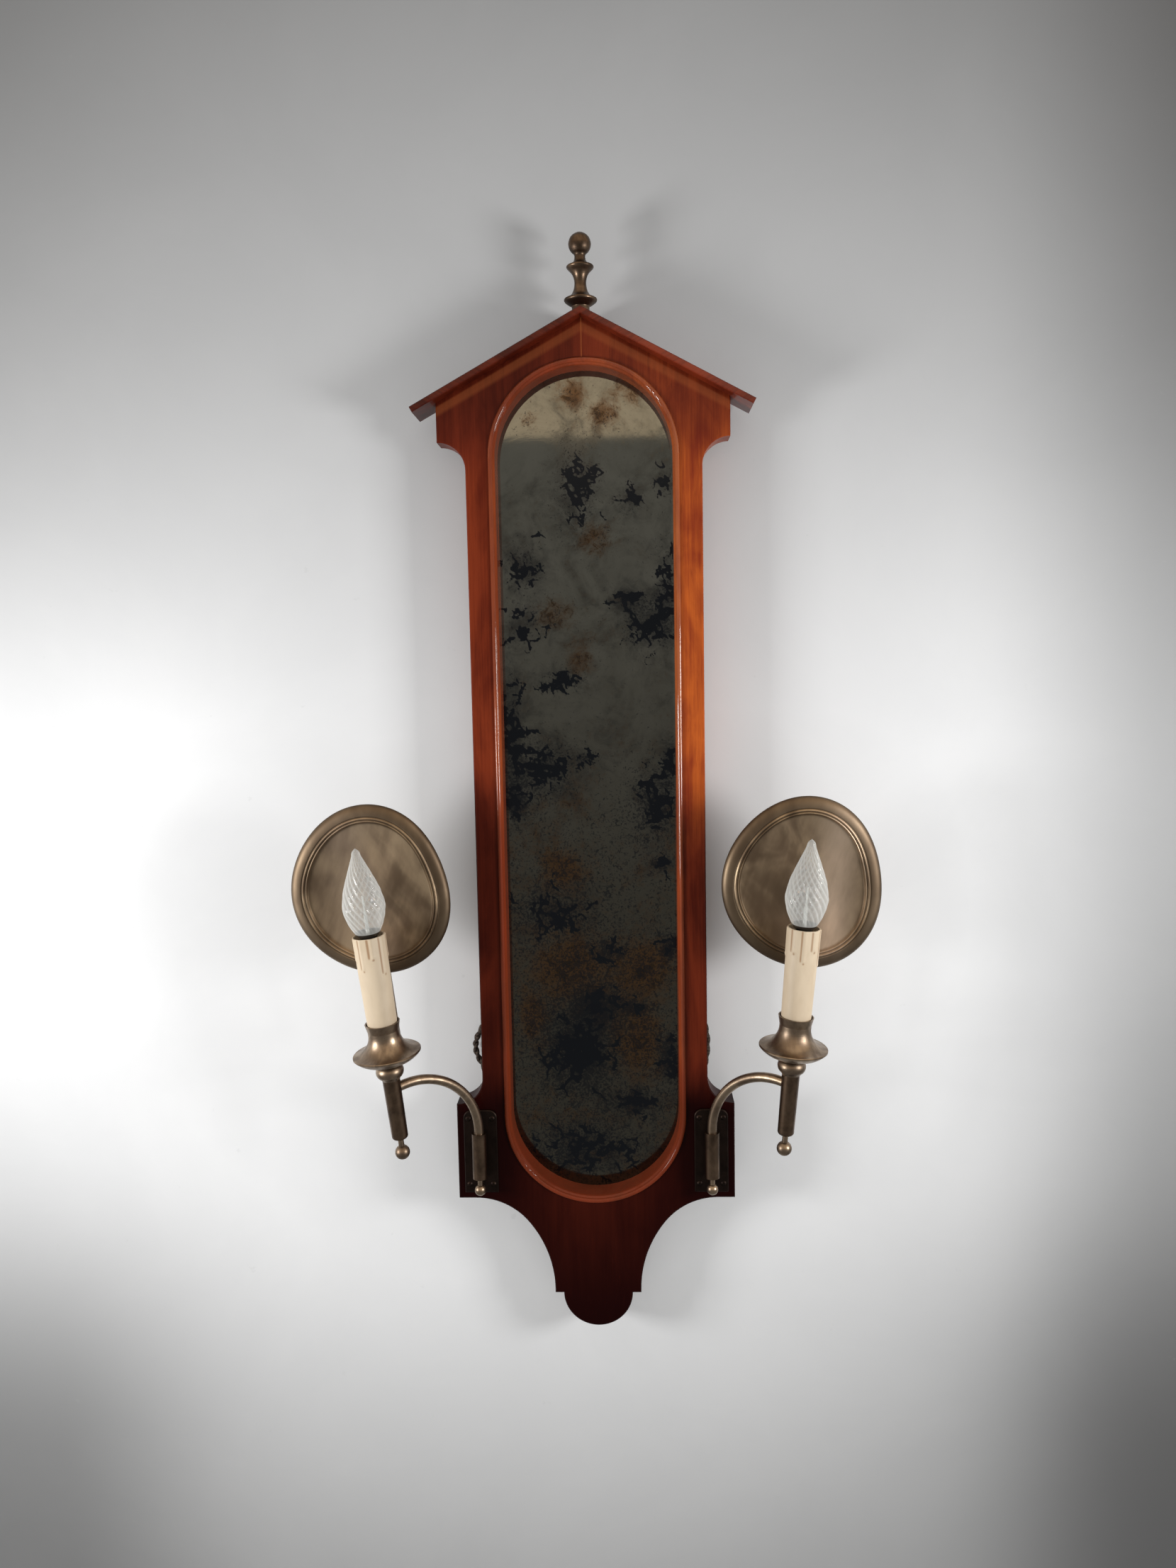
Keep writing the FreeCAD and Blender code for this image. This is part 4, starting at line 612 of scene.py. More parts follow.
@dataclass(frozen=True)
class ClothFlex(Finish):
    """Brown braided cloth: a fine slanting weave that follows the strand."""

    thread: Colour = (0.085, 0.058, 0.042)
    gap: Colour = (0.022, 0.015, 0.011)
    across: float = 12.0
    along: float = 1100.0

    def sockets(self, recipe: Recipe) -> dict[str, Feed]:
        """Two crossing families of ridges, from the strand's own map.

        Args:
            recipe: The tree that the nodes go into.

        Returns:
            The shader's feeds by socket name.
        """
        where = recipe.node("ShaderNodeUVMap", {"uv_map": "strand"}).outputs[0]
        split = recipe.node("ShaderNodeSeparateXYZ", None, {0: where})
        run, turn = (Tone(recipe, split.outputs[0]), Tone(recipe, split.outputs[1]))
        half = self.across * math.pi
        one = (run * self.along + turn * half).sine()
        two = (run * self.along - turn * half).sine()
        weave = (one * two).over(-0.5, 0.6)
        return {
            "Base Color": recipe.mix(weave, self.gap, self.thread),
            "Roughness": 0.85,
            "Normal": recipe.bump(weave, 0.0002, 0.7),
        }


@dataclass(frozen=True)
class PlainFinish(Finish):
    """A plain working finish with its own mottling and fine surface grain."""

    light: Colour
    dark: Colour
    rough: float = 0.5
    metal: float = 0.0
    cloud: float = 60.0
    fine: float = 900.0
    relief: float = 0.0001
    coat: float = 0.0

    def sockets(self, recipe: Recipe) -> dict[str, Feed]:
        """Two noises, one for the colour and one for the grain.

        Args:
            recipe: The tree that the nodes go into.

        Returns:
            The shader's feeds by socket name.
        """
        cloud = recipe.noise(recipe.place(), self.cloud, 5.0, 0.6, 0.3)
        fine = recipe.noise(recipe.place(), self.fine, 3.0, 0.6)
        share = (cloud * 0.7 + fine * 0.3).over(0.32, 0.68)
        return {
            "Base Color": recipe.mix(share, self.dark, self.light),
            "Metallic": self.metal,
            "Roughness": self.rough + 0.12 * (1.0 - share),
            "Coat Weight": self.coat,
            "Normal": recipe.bump(fine, self.relief, 0.6),
        }


class Finishes:
    """Every finish of the object, each made once and then shared by its pieces."""

    PALETTE: dict[str, Finish] = {
        "mahogany_upright": Mahogany(),
        "mahogany_gable": Mahogany(gable=True),
        # lift raises the roof boards' painted light
        **{f"mahogany_roof_{side}": Mahogany(grain, (0.34, 0.05, 0.014),
                                             (0.12, 0.014, 0.007), coat=1.0, lift=0.05)
           for side, grain in (("left", Grain.SLOPE_LEFT), ("right", Grain.SLOPE_RIGHT))},
        # the moulding's foot is the darkest of its painted shade, and lift raises its
        # painted light
        "moulding": Mahogany(warm=(0.50, 0.13, 0.03), deep=(0.26, 0.05, 0.018),
                             foot=(0.125, 0.022, 0.007), gloss=0.07, coat=1.2, lift=0.16),
        "brass": AgedBrass(rough=0.27, turned=1.0),
        # a darker copy of the brass, for the finial, the columns and the sockets
        "brass_darker": AgedBrass((0.20, 0.135, 0.090), (0.05, 0.033, 0.023), 0.27,
                                turned=1.0),
        "sheet_brass": SheetBrass(),
        "brass_dark": AgedBrass((0.032, 0.021, 0.017), (0.012, 0.009, 0.008), 0.4, 45.0),
        "cap_brass": AgedBrass((0.62, 0.52, 0.34), (0.40, 0.32, 0.2), 0.25),
        "clip_brass": AgedBrass((0.62, 0.47, 0.25), (0.35, 0.25, 0.13), 0.3),
        "mirror": MirrorSilver(),
        "sleeve": WaxSleeve(),
        "bulb": BulbGlass(),
        "cloth": ClothFlex(),
        "backboard": PlainFinish((0.26, 0.165, 0.09), (0.15, 0.09, 0.048), 0.8, 0.0,
                                 20.0, 500.0, 0.0003),
        "dowel": PlainFinish((0.55, 0.38, 0.22), (0.4, 0.26, 0.14), 0.7),
        "steel": PlainFinish((0.62, 0.62, 0.6), (0.42, 0.42, 0.4), 0.35, 1.0, 90.0),
        "rubber": PlainFinish((0.028, 0.028, 0.028), (0.016, 0.016, 0.016), 0.75),
        "ceramic": PlainFinish((0.78, 0.75, 0.68), (0.68, 0.64, 0.56), 0.25, coat=0.6),
        "holder": PlainFinish((0.05, 0.045, 0.04), (0.02, 0.018, 0.016), 0.4, coat=0.3),
        "stem": PlainFinish((0.75, 0.76, 0.72), (0.55, 0.55, 0.5), 0.2, coat=0.5),
    }

    def __init__(self) -> None:
        """Starts with no material made."""
        self.made: dict[str, bpy.types.Material] = {}

    def get(self, name: str) -> bpy.types.Material:
        """The material of a finish, made on first use.

        Args:
            name: The finish's name in the palette.

        Returns:
            Its material.
        """
        if name not in self.made:
            self.made[name] = finish_material(name, self.PALETTE[name])
        return self.made[name]

    def dress(self, node: str, name: str) -> None:
        """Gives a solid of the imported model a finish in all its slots.

        Args:
            node: The solid's name.
            name: The finish's name in the palette.
        """
        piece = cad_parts[node]
        if not piece.material_slots:
            piece.data.materials.append(None)
        for slot in piece.material_slots:
            slot.material = self.get(name)
        log.info("%s: %s", node, name)


# surfaces


def grid_faces(rows: int, columns: int, wrap: bool) -> Array:
    """Quads between neighbouring rows and columns of a grid of points.

    Args:
        rows: The number of rows.
        columns: The number of points in a row.
        wrap: Whether the last point of a row joins the first.

    Returns:
        An array of four point numbers per face.
    """
    row = np.arange(rows - 1)[:, None]
    column = np.arange(columns if wrap else columns - 1)[None, :]
    after = (column + 1) % columns
    here, there = row * columns, (row + 1) * columns
    faces = [here + column, here + after, there + after, there + column]
    return np.stack([f.ravel() for f in np.broadcast_arrays(*faces)], axis=1)


def surface(name: str, points: Array, faces: Array, material: bpy.types.Material,
            fields: dict[str, Array] | None = None, weld: float = 1e-6,
            ) -> bpy.types.Object:
    """A smooth mesh object from arrays, with its doubles merged.

    Args:
        name: The piece's name.
        points: An array of points in metres.
        faces: An array of point numbers, four per face.
        material: The finish.
        fields: Numbers stored on the points, by name.
        weld: The distance under which points merge.

    Returns:
        The object, at the origin.
    """
    mesh = bpy.data.meshes.new(name)
    mesh.from_pydata(points.tolist(), [], faces.tolist())
    for label, values in (fields or {}).items():
        layer = mesh.attributes.new(label, "FLOAT", "POINT")
        layer.data.foreach_set("value", np.asarray(values, np.float32).ravel())
    piece = bpy.data.objects.new(name, mesh)
    bpy.context.scene.collection.objects.link(piece)
    mesh.materials.append(material)
    work = bmesh.new()
    work.from_mesh(mesh)
    if weld:
        bmesh.ops.remove_doubles(work, verts=work.verts, dist=weld)
    bmesh.ops.recalc_face_normals(work, faces=work.faces)
    work.to_mesh(mesh)
    work.free()
    mesh.polygons.foreach_set("use_smooth", np.ones(len(mesh.polygons), bool))
    mesh.update()
    log.info("%s: %d points", name, len(mesh.vertices))
    return piece


def stand_in(piece: bpy.types.Object, body: str, node: str) -> None:
    """Lets a new piece ride a body in the place of a solid, which it hides.

    Args:
        piece: The new piece.
        body: The body that carries it.
        node: The solid that it replaces.
    """
    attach(piece, body)
    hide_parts(node)


def moved(points: Array, place: Matrix) -> Array:
    """A grid of points in mm carried by a placement, as rows in metres."""
    turn = np.array(place.to_3x3())
    return (points * MM).reshape(-1, 3) @ turn.T + np.array(place.translation)


def unit(rows: Array) -> Array:
    """Every row brought to a length of 1."""
    return rows / np.linalg.norm(rows, axis=1, keepdims=True)


def bell(away: Array, wide: float) -> Array:
    """The soft bell exp(-(away / wide)^2)."""
    return np.exp(-(away / wide) ** 2)


def turned(radius: Array, turns: Array, level: Array) -> Array:
    """Points about the Z axis: (r cos t, r sin t, z) for each row and each turn.

    Args:
        radius: One radius per row, or one per row and turn.
        turns: The angles in radians.
        level: The height of each row.

    Returns:
        A grid of points.
    """
    if radius.ndim == 1:
        radius = radius[:, None]
    return np.stack(np.broadcast_arrays(radius * np.cos(turns), radius * np.sin(turns),
                                        level[:, None]), axis=2)


def around(count: int) -> Array:
    """Even angles round a full turn, in radians."""
    return np.linspace(0.0, math.tau, count, endpoint=False)


# mirror


@dataclass
class Mirror:
    """The stadium-shaped antique mirror, silvered on its back."""

    half: float = 79.0 * MM
    top: float = -94.5 * MM
    foot: float = -659.1 * MM
    front: float = -5.0 * MM
    back: float = -2.0 * MM
    rows: int = 560
    across: int = 128
    cell: float = 0.8
    seed: int = 7
    stride: float = 1.1
    drift: float = 0.34
    shoot_odds: float = 0.33
    edge: int = 4

    # the helper raster of the silver's loss: its size and its low corner in mm
    RASTER = (1000, 220)
    CORNER = (-88.0, -760.0)

    # dark tarnish: x, z, half width, half height in mm, and how strong
    TARNISH = (
        (-7, -112, 20, 40, 1.0), (68, -113, 10, 13, .9), (38, -129, 9, 14, .8),
        (-55, -183, 17, 22, .9), (35, -211, 15, 11, .9), (53, -233, 24, 22, 1.0),
        (70, -200, 11, 37, .9), (-51, -231, 22, 18, .55), (-22, -280, 21, 11, .8),
        (-68, -316, 11, 57, .9), (-40, -354, 25, 25, 1.0), (-66, -384, 11, 17, 1.0),
        (-3, -347, 11, 6, .8), (55, -386, 19, 29, .95), (69, -352, 7, 19, .9),
        (60, -441, 7, 6, .8), (-34, -483, 38, 21, .6), (67, -515, 8, 12, .9),
        (15, -518, 13, 12, .7), (-15, -608, 31, 40, 1.15), (3, -565, 17, 17, .9),
        (66, -616, 10, 23, 1.0), (34, -656, 25, 11, .9), (-8, -698, 48, 23, .75),
        (35, -569, 13, 7, .8),
    )
    # rust stains, given the same way
    STAINS = (
        (-10, -40, 11, 11, .9), (16, -57, 13, 12, 1.0), (8, -159, 15, 15, .9),
        (-28, -222, 17, 13, .9), (-5, -262, 13, 17, .8), (-19, -534, 33, 26, 1.0),
        (46, -532, 23, 22, .9), (-25, -444, 17, 17, .8), (-55, -580, 12, 21, .9),
        (41, -595, 19, 30, 1.0), (40, -40, 14, 14, .7), (-48, -60, 12, 10, .6),
    )

    def reach(self, level: Array) -> Array:
        """Half the width at each level: full between the centres, round beyond."""
        beyond = np.maximum(level - self.top, self.foot - level).clip(min=0.0)
        return np.sqrt(np.maximum(self.half ** 2 - beyond ** 2, 0.0))

    @staticmethod
    def field(spots: Sequence[tuple[float, ...]], points: Array) -> Array:
        """The sum of soft bells, exp(-(dx/w)^2 - (dz/h)^2), one per spot.

        Args:
            spots: Rows of x, z, half width and half height in mm, and strength.
            points: Points in metres.

        Returns:
            One value per point.
        """
        x, z, wide, high, strong = (np.array(spots).T * MM)[:, None, :]
        across = (points[:, 0:1] - x) / wide
        along = (points[:, 2:3] - z) / high
        return (strong / MM * np.exp(-across ** 2 - along ** 2)).sum(1).clip(0.0, 1.2)

    def ferns(self, points: Array) -> Array:
        """Branching loss of silver, grown from the middle of every dark spot.

        Each stem is a walk of short steps whose heading drifts at random and
        which throws off side shoots at a steep angle. The value at a place is
        exp(-(d / w)^2) for its distance d from the nearest step of width w.

        Args:
            points: Points in metres.

        Returns:
            One value per point, from 0 to 1.
        """
        chance = np.random.default_rng(self.seed)
        steps: list[tuple[float, float, float]] = []

        def grow(x: float, z: float, heading: float, count: int, wide: float,
                 shoots: bool) -> None:
            """Walks one stem and, while it is a main one, its side shoots.

            Args:
                x: Where it starts, across.
                z: Where it starts, in height.
                heading: Its first heading in radians.
                count: How many steps it takes.
                wide: How wide it starts.
                shoots: Whether side shoots grow from it.
            """
            for step in range(count):
                heading += chance.normal(0.0, self.drift)
                x += self.stride * math.cos(heading)
                z += self.stride * math.sin(heading)
                steps.append((x, z, wide * (1.0 - 0.55 * step / count)))
                if shoots and chance.random() < self.shoot_odds:
                    side = heading + chance.choice((-1.0, 1.0)) * chance.uniform(0.7, 1.3)
                    grow(x, z, side, int(chance.integers(3, 8)), 0.75 * wide, False)

        for x, z, wide, high, strong in self.TARNISH:
            for _ in range(int(5 + strong * wide * high / 26)):
                spread = chance.normal(0.0, 0.42, 2) * (wide, high)
                grow(x + spread[0], z + spread[1], chance.uniform(0.0, math.tau),
                     int(chance.integers(4, 6 + (wide + high) // 5)),
                     float(chance.uniform(0.9, 1.7)), True)
        board, corner, edge = np.zeros(self.RASTER), np.array(self.CORNER), self.edge
        rows, columns = self.RASTER
        window = np.arange(-edge, edge + 1)
        for x, z, wide in steps:
            column, row = ((np.array([x, z]) - corner) / self.cell).round().astype(int)
            if edge <= column < columns - edge - 1 and edge <= row < rows - edge - 1:
                across = (corner[0] + (column + window) * self.cell - x) / wide
                along = (corner[1] + (row + window) * self.cell - z) / wide
                ink = np.exp(-across[None, :] ** 2 - along[:, None] ** 2)
                patch = board[row - edge:row + edge + 1, column - edge:column + edge + 1]
                np.maximum(patch, ink, out=patch)
        place = ((points[:, [0, 2]] / MM) - corner) / self.cell
        column, row = np.floor(place).astype(int).clip(0, (columns - 2, rows - 2)).T
        x, z = (place - np.stack([column, row], axis=1)).clip(0.0, 1.0).T
        low = board[row, column] * (1 - x) + board[row, column + 1] * x
        high = board[row + 1, column] * (1 - x) + board[row + 1, column + 1] * x
        return low * (1 - z) + high * z

    def build(self, finishes: Finishes) -> None:
        """Rows from tip to tip; each row is a flat loop, front then back.

        Args:
            finishes: The finishes to dress it with.
        """
        middle, half = (self.top + self.foot) / 2, (self.top - self.foot) / 2 + self.half
        tip = np.cos(np.linspace(0.0, math.pi, self.rows))
        level = middle + half * (0.35 * tip + 0.65 * np.linspace(1.0, -1.0, self.rows))
        share = np.linspace(-1.0, 1.0, self.across)
        loop_x = np.concatenate([share, share[[-1, 0]]])
        loop_y = np.concatenate([np.full(self.across, self.front),
                                 np.full(2, self.back)])
        grid = np.broadcast_arrays(self.reach(level)[:, None] * loop_x, loop_y,
                                   level[:, None])
        points = np.stack(grid, axis=2).reshape(-1, 3)
        piece = surface("mirror_silvering", points,
                        grid_faces(self.rows, self.across + 2, True),
                        finishes.get("mirror"),
                        {"tarnish": self.field(self.TARNISH, points),
                         "stain": self.field(self.STAINS, points),
                         "fern": self.ferns(points)}, 1e-7)
        piece.data.polygons.foreach_set("use_smooth",
                                        np.zeros(len(piece.data.polygons), bool))
        stand_in(piece, "frame", "mirror_glass")


# frame


@dataclass
class Case:
    """The wooden frame, its roof, finial, moulding and what is fixed behind it."""

    DRESS = (
        ("pediment_left", "mahogany_gable"), ("pediment_right", "mahogany_gable"),
        ("stile_left", "mahogany_upright"), ("stile_right", "mahogany_upright"),
        ("apron", "mahogany_upright"), ("roof_board_left", "mahogany_roof_left"),
        ("roof_board_right", "mahogany_roof_right"), ("mirror_moulding", "moulding"),
        ("finial_dowel", "dowel"), ("backboard", "backboard"),
        ("backboard_pins", "steel"), ("hanger_plate", "steel"),
        ("hanger_screws", "steel"), ("wall_bumpers", "rubber"),
        ("terminal_block", "ceramic"), ("flex_clips", "clip_brass"),
    )

    finial_y: float = -22.0
    apex: float = 21.8

    # the finial's outline: radius and height above the roof's ridge, mm
    FINIAL = (
        (0.0, -3.0), (7.2, -3.0), (7.3, 0.0), (7.3, 3.6), (7.9, 4.6), (10.2, 6.0),
        (12.8, 7.9), (13.65, 9.2), (13.2, 10.4), (11.2, 11.2), (9.0, 12.4), (7.0, 14.6),
        (5.6, 17.8), (4.9, 21.5), (5.0, 25.0), (6.0, 28.6), (7.9, 31.6), (10.2, 33.9),
        (11.25, 35.4), (10.6, 36.7), (8.4, 37.6), (6.3, 38.8), (5.0, 40.6), (4.5, 42.6),
        (4.5, 44.6), (5.2, 46.0), (7.0, 47.6), (8.55, 50.0), (9.25, 52.8), (9.2, 54.9),
        (8.2, 58.1), (6.4, 60.4), (3.6, 62.27), (1.6, 62.86), (0.0, 63.0),
    )

    def finial(self, finishes: Finishes) -> None:
        """The turned finial: its outline carried round its own axis.

        Args:
            finishes: The finishes to dress it with.
        """
        radius, level = finely(np.array(self.FINIAL), 4)
        radius = np.maximum(radius, 0.0)
        points = turned(radius, around(96), level)
        place = Matrix.Translation(Vector((0.0, self.finial_y, self.apex)) * MM)
        piece = surface("finial_turned", moved(points, place),
                        grid_faces(len(level), 96, True), finishes.get("brass_darker"))
        stand_in(piece, "frame", "finial")

    def build(self, finishes: Finishes) -> None:
        """Dresses every board and fitting and turns the finial.

        Args:
            finishes: The finishes to dress it with.
        """
        for node, finish in self.DRESS:
            finishes.dress(node, finish)
        self.finial(finishes)


# flexes


@dataclass
class HeldFlex:
    """A twisted two-strand flex, held behind the frame from the ear to the block."""

    side: Side
    bulge: float
    post: float = 101.0
    level: float = 4.3
    top: float = -700.5
    reach: float = 2.8
    pitch: float = 19.0
    strand_share: float = 0.64
    around: int = 10

    def route(self) -> Array:
        """The points that the flex follows, in metres.

        Returns:
            Rows of x, y and z.
        """
        spots = [(self.post, -29.25, 0.0), (self.post, self.level, 0.0),
                 (96.5, self.level, 33.0), (96.5, self.level, 68.0),
                 (self.bulge, self.level, 94.0), (97.5, self.level, 118.0),
                 (86.0, self.level, 144.0), (64.0, self.level, 166.0),
                 (40.0, self.level, 180.5), (15.0, self.level, 181.5)]
        points = np.array(spots)
        points[:, 2] += self.top
        points[:, 0] *= self.side.value
        return points * MM

    def centre(self) -> Array:
        """The route's NURBS spline, read back as points.

        Returns:
            Rows of x, y and z in metres.
        """
        curve = bpy.data.curves.new("route", "CURVE")
        curve.dimensions = "3D"
        curve.resolution_u = 24
        spline = curve.splines.new("NURBS")
        route = self.route()
        spline.points.add(len(route) - 1)
        spline.points.foreach_set("co", np.c_[route, np.ones(len(route))].ravel())
        spline.order_u = 3
        spline.use_endpoint_u = True
        holder = bpy.data.objects.new("route", curve)
        mesh = bpy.data.meshes.new_from_object(holder)
        points = np.zeros(len(mesh.vertices) * 3)
        mesh.vertices.foreach_get("co", points)
        bpy.data.objects.remove(holder)
        bpy.data.curves.remove(curve)
        bpy.data.meshes.remove(mesh)
        return points.reshape(-1, 3)

    def strands(self) -> tuple[Array, Array, Array]:
        """Two tubes wound round the centre line.

        A strand's centre is c + a (n cos t + b sin t), where t grows with the
        length run, n and b stand square to the line, and a is what the flex's
        radius leaves beside the strand's own; its skin is a circle round that.

        Returns:
            The points, the faces and the map (metres run, turns round).
        """
        line = self.centre()
        run = np.r_[0.0, np.cumsum(np.linalg.norm(np.diff(line, axis=0), axis=1))]
        steps = np.linspace(0.0, run[-1], int(run[-1] / (1.1 * MM)))
        line = np.stack([np.interp(steps, run, part) for part in line.T], axis=1)
        along = unit(np.gradient(line, axis=0))
        normal = unit(np.cross(along, np.array([0.12, 0.3, 1.0])))
        angle = (math.tau * steps / (self.pitch * MM))[:, None]
        strand = self.reach * MM * self.strand_share
        turns = around(self.around)[:, None]
        points = []
        for start in (0.0, math.pi):
            out = (normal * np.cos(angle + start)
                   + np.cross(along, normal) * np.sin(angle + start))
            core = line + out * (self.reach * MM - strand)
            ring = (out[:, None, :] * np.cos(turns)
                    + np.cross(along, out)[:, None, :] * np.sin(turns))
            points.append((core[:, None, :] + strand * ring).reshape(-1, 3))
        faces = grid_faces(len(steps), self.around, True)
        places = np.stack(np.broadcast_arrays(steps[:, None], turns.T / math.tau),
                          axis=2).reshape(-1, 2)
        return (np.concatenate(points), np.concatenate([faces, faces + len(places)]),
                np.concatenate([places, places]))

    def build(self, finishes: Finishes) -> None:
        """Makes the two strands and their map.

        Args:
            finishes: The finishes to dress it with.
        """
        points, faces, maps = self.strands()
        name = f"flex_{self.side.word}"
        piece = surface(f"{name}_twist", points, faces, finishes.get("cloth"), None, 0.0)
        layer = piece.data.uv_layers.new(name="strand")
        corner = np.zeros(len(piece.data.loops), np.int64)
        piece.data.loops.foreach_get("vertex_index", corner)
        layer.data.foreach_set("uv", maps[corner].astype(np.float32).ravel())
        stand_in(piece, "frame", name)


# arms


@dataclass
class CandleArm:
    """A swinging arm with its candle, bulb and reflector."""

    side: Side
    reach: float
    lean: float
    azimuth: float = 35.0
    socket_x: float = 101.0
    socket_y: float = -40.0
    spring: float = -668.0
    bend: float = 58.0
    sleeve_foot: float = 52.0
    sleeve_top: float = 134.0
    sleeve_foot_half: float = 12.1
    sleeve_top_half: float = 13.3
    sleeve_wall: float = 1.6
    ribs: int = 18
    rib_depth: float = 0.055
    twist: float = 0.042
    plate_reach: float = 68.7
    plate_level: float = 165.5
    plate_seat: float = 28.5
    plate_thick: float = 0.78

    # wax drips: turn in radians, half width, length in mm and how proud
    DRIPS = ((-1.95, 0.10, 26.0, 0.62), (-1.25, 0.13, 17.0, 0.7),
             (-0.55, 0.11, 31.0, 0.6), (0.3, 0.12, 20.0, 0.6), (1.15, 0.11, 28.0, 0.6),
             (2.0, 0.14, 15.0, 0.7), (2.75, 0.11, 24.0, 0.6), (-2.6, 0.12, 19.0, 0.6))
    # the bulb's outline: height and radius, mm
    BULB = ((132.0, 7.0), (134.0, 8.6), (138.5, 11.4), (145.0, 14.4), (152.0, 16.5),
            (158.5, 17.45), (165.0, 16.8), (174.0, 14.2), (184.0, 10.4), (193.0, 6.7),
            (200.0, 3.9), (204.0, 2.6), (206.4, 0.0))

    METALS = (
        ("arm", "brass"), ("column", "brass_darker"), ("column_ball", "brass"),
        ("collar", "brass"), ("cup", "brass"), ("nipple", "brass"),
        ("reflector_strap", "brass"), ("reflector_rivets", "brass"),
        ("lampholder", "holder"),
        ("bulb_cap", "cap_brass"), ("bulb_mount", "stem"), ("arm_flex", "rubber"),
    )
    BRACKET = (
        ("backplate", "brass_dark"), ("backplate_screws", "brass_dark"),
        ("socket", "brass_darker"), ("socket_knob", "brass"),
    )

    @property
    def body(self) -> str:
        """The swinging body that carries the arm's pieces."""
        return f"arm_{self.side.word}_body"

    def place(self) -> Matrix:
        """The candle's frame: the arm's end, leant outwards along the arm.

        Returns:
            The placement of the candle's frame, in metres.
        """
        turn = math.radians(self.azimuth)
        outward = Vector((self.side.value * math.cos(turn), -math.sin(turn), 0.0))
        level = self.spring + math.sqrt(self.bend ** 2 - (self.reach - self.bend) ** 2)
        base = Vector((self.side.value * self.socket_x, self.socket_y, level))
        base += outward * self.reach
        axis = Vector((0.0, 0.0, 1.0)).cross(outward)
        return (Matrix.Translation(base * MM)
                @ Matrix.Rotation(math.radians(self.lean), 4, axis))

    def sleeve(self, finishes: Finishes) -> None:
        """The dripped sleeve: a profile carried round, swollen where wax ran.

        The outer radius is r(z) + sum of h exp(-(dt/w)^2) s(z), where dt is the
        turn away from a drip, and s rises from 0 below the drip's foot to 1
        with a rounder bead at the foot itself.

        Args:
            finishes: The finishes to dress it with.
        """
        turns = around(120)
        ends, halves = ((self.sleeve_foot, self.sleeve_top),
                        (self.sleeve_foot_half, self.sleeve_top_half))
        round_half = self.sleeve_wall / 2
        lip = self.sleeve_top - round_half
        z_out = np.linspace(*ends, 74)
        r_out = np.linspace(*halves, 74)
        z_out[-1] = lip
        rim = np.linspace(0.0, math.pi, 7)[1:-1]
        z_in = np.linspace(lip, self.sleeve_foot, 12)
        r_in = np.interp(z_in, ends, halves) - self.sleeve_wall
        z = np.concatenate([z_out, lip + round_half * np.sin(rim), z_in])
        radius = np.concatenate([
            r_out, self.sleeve_top_half - round_half + round_half * np.cos(rim), r_in])
        skin = np.repeat((1.0, 0.6, 0.0), (len(z_out), len(rim), len(z_in)))[:, None]
        height = z[:, None]
        swell = np.zeros((len(z), len(turns)))
        run = np.zeros_like(swell)
        shift = 0.0 if self.side is Side.LEFT else 0.35
        for at, wide, long, proud in self.DRIPS:
            away = (turns[None, :] - (at + shift) + math.pi) % math.tau - math.pi
            foot = self.sleeve_top - long
            rise = 1.0 / (1.0 + np.exp(-(height - foot) / 0.55))
            bead = 1.0 + 0.55 * bell(height - foot - 1.2, 1.5)
            swell += proud * bell(away, wide) * rise * bead
            edge = bell(np.abs(away) - 1.9 * wide, 0.75 * wide)
            tail = bell(away, 0.8 * wide) * bell(height - foot + 0.8, 1.4)
            run = np.maximum(run, (edge * rise * (away < 0) + tail) * skin)
        points = turned(radius[:, None] + swell * skin * 0.85, turns, z)
        ring = len(turns)
        start = (len(z) - 1) * ring
        close = grid_faces(2, ring, True)
        faces = np.concatenate([grid_faces(len(z), ring, True),
                                np.where(close >= ring, close - ring, close + start)])
        foot_dust = np.exp(-((height - self.sleeve_foot) / 14.0)) + 0 * swell
        piece = surface(f"sleeve_{self.side.word}_dripped",
                        moved(points, self.place()), faces, finishes.get("sleeve"),
                        {"run": run, "foot": foot_dust}, 0.0)
        stand_in(piece, self.body, f"candle_sleeve_{self.side.word}")

    def bulb(self, finishes: Finishes) -> None:
        """The twisted bulb: a flame's outline with ribs that wind up it.

        The radius is R(z) (1 - a (1 - |sin(n (t + k z) / 2)|)), with R drawn
        through the neck, the widest place and the tip, and a fading at both.

        Args:
            finishes: The finishes to dress it with.
        """
        knots, radii = np.array(self.BULB).T
        low, tip = knots[0], knots[-1]
        z = np.linspace(low, tip, 150)
        base = np.minimum(smooth_curve(knots, radii, z),
                          np.sqrt(np.maximum((tip - z) * 6.5, 0.0)))
        fade = np.clip((z - 136.0) / 8.0, 0, 1) * np.clip((tip - 1 - z) / 12, 0, 1)
        fade = fade[:, None]
        turns = around(216)
        phase = self.ribs * (turns + self.twist * (z[:, None] - low)) / 2
        groove = 1.0 - np.abs(np.sin(phase))
        points = turned(base[:, None] * (1.0 - self.rib_depth * fade * groove), turns, z)
        points[-1, :, :2] = 0.0
        rib = groove ** 2 * fade
        neck = 1.0 - np.clip((z[:, None] - 136.6) / 0.8, 0, 1) + 0 * rib
        piece = surface(f"bulb_{self.side.word}_twisted",
                        moved(points, self.place()),
                        grid_faces(len(z), len(turns), True), finishes.get("bulb"),
                        {"rib": rib, "neck": neck}, 1e-7)
        stand_in(piece, self.body, f"bulb_glass_{self.side.word}")

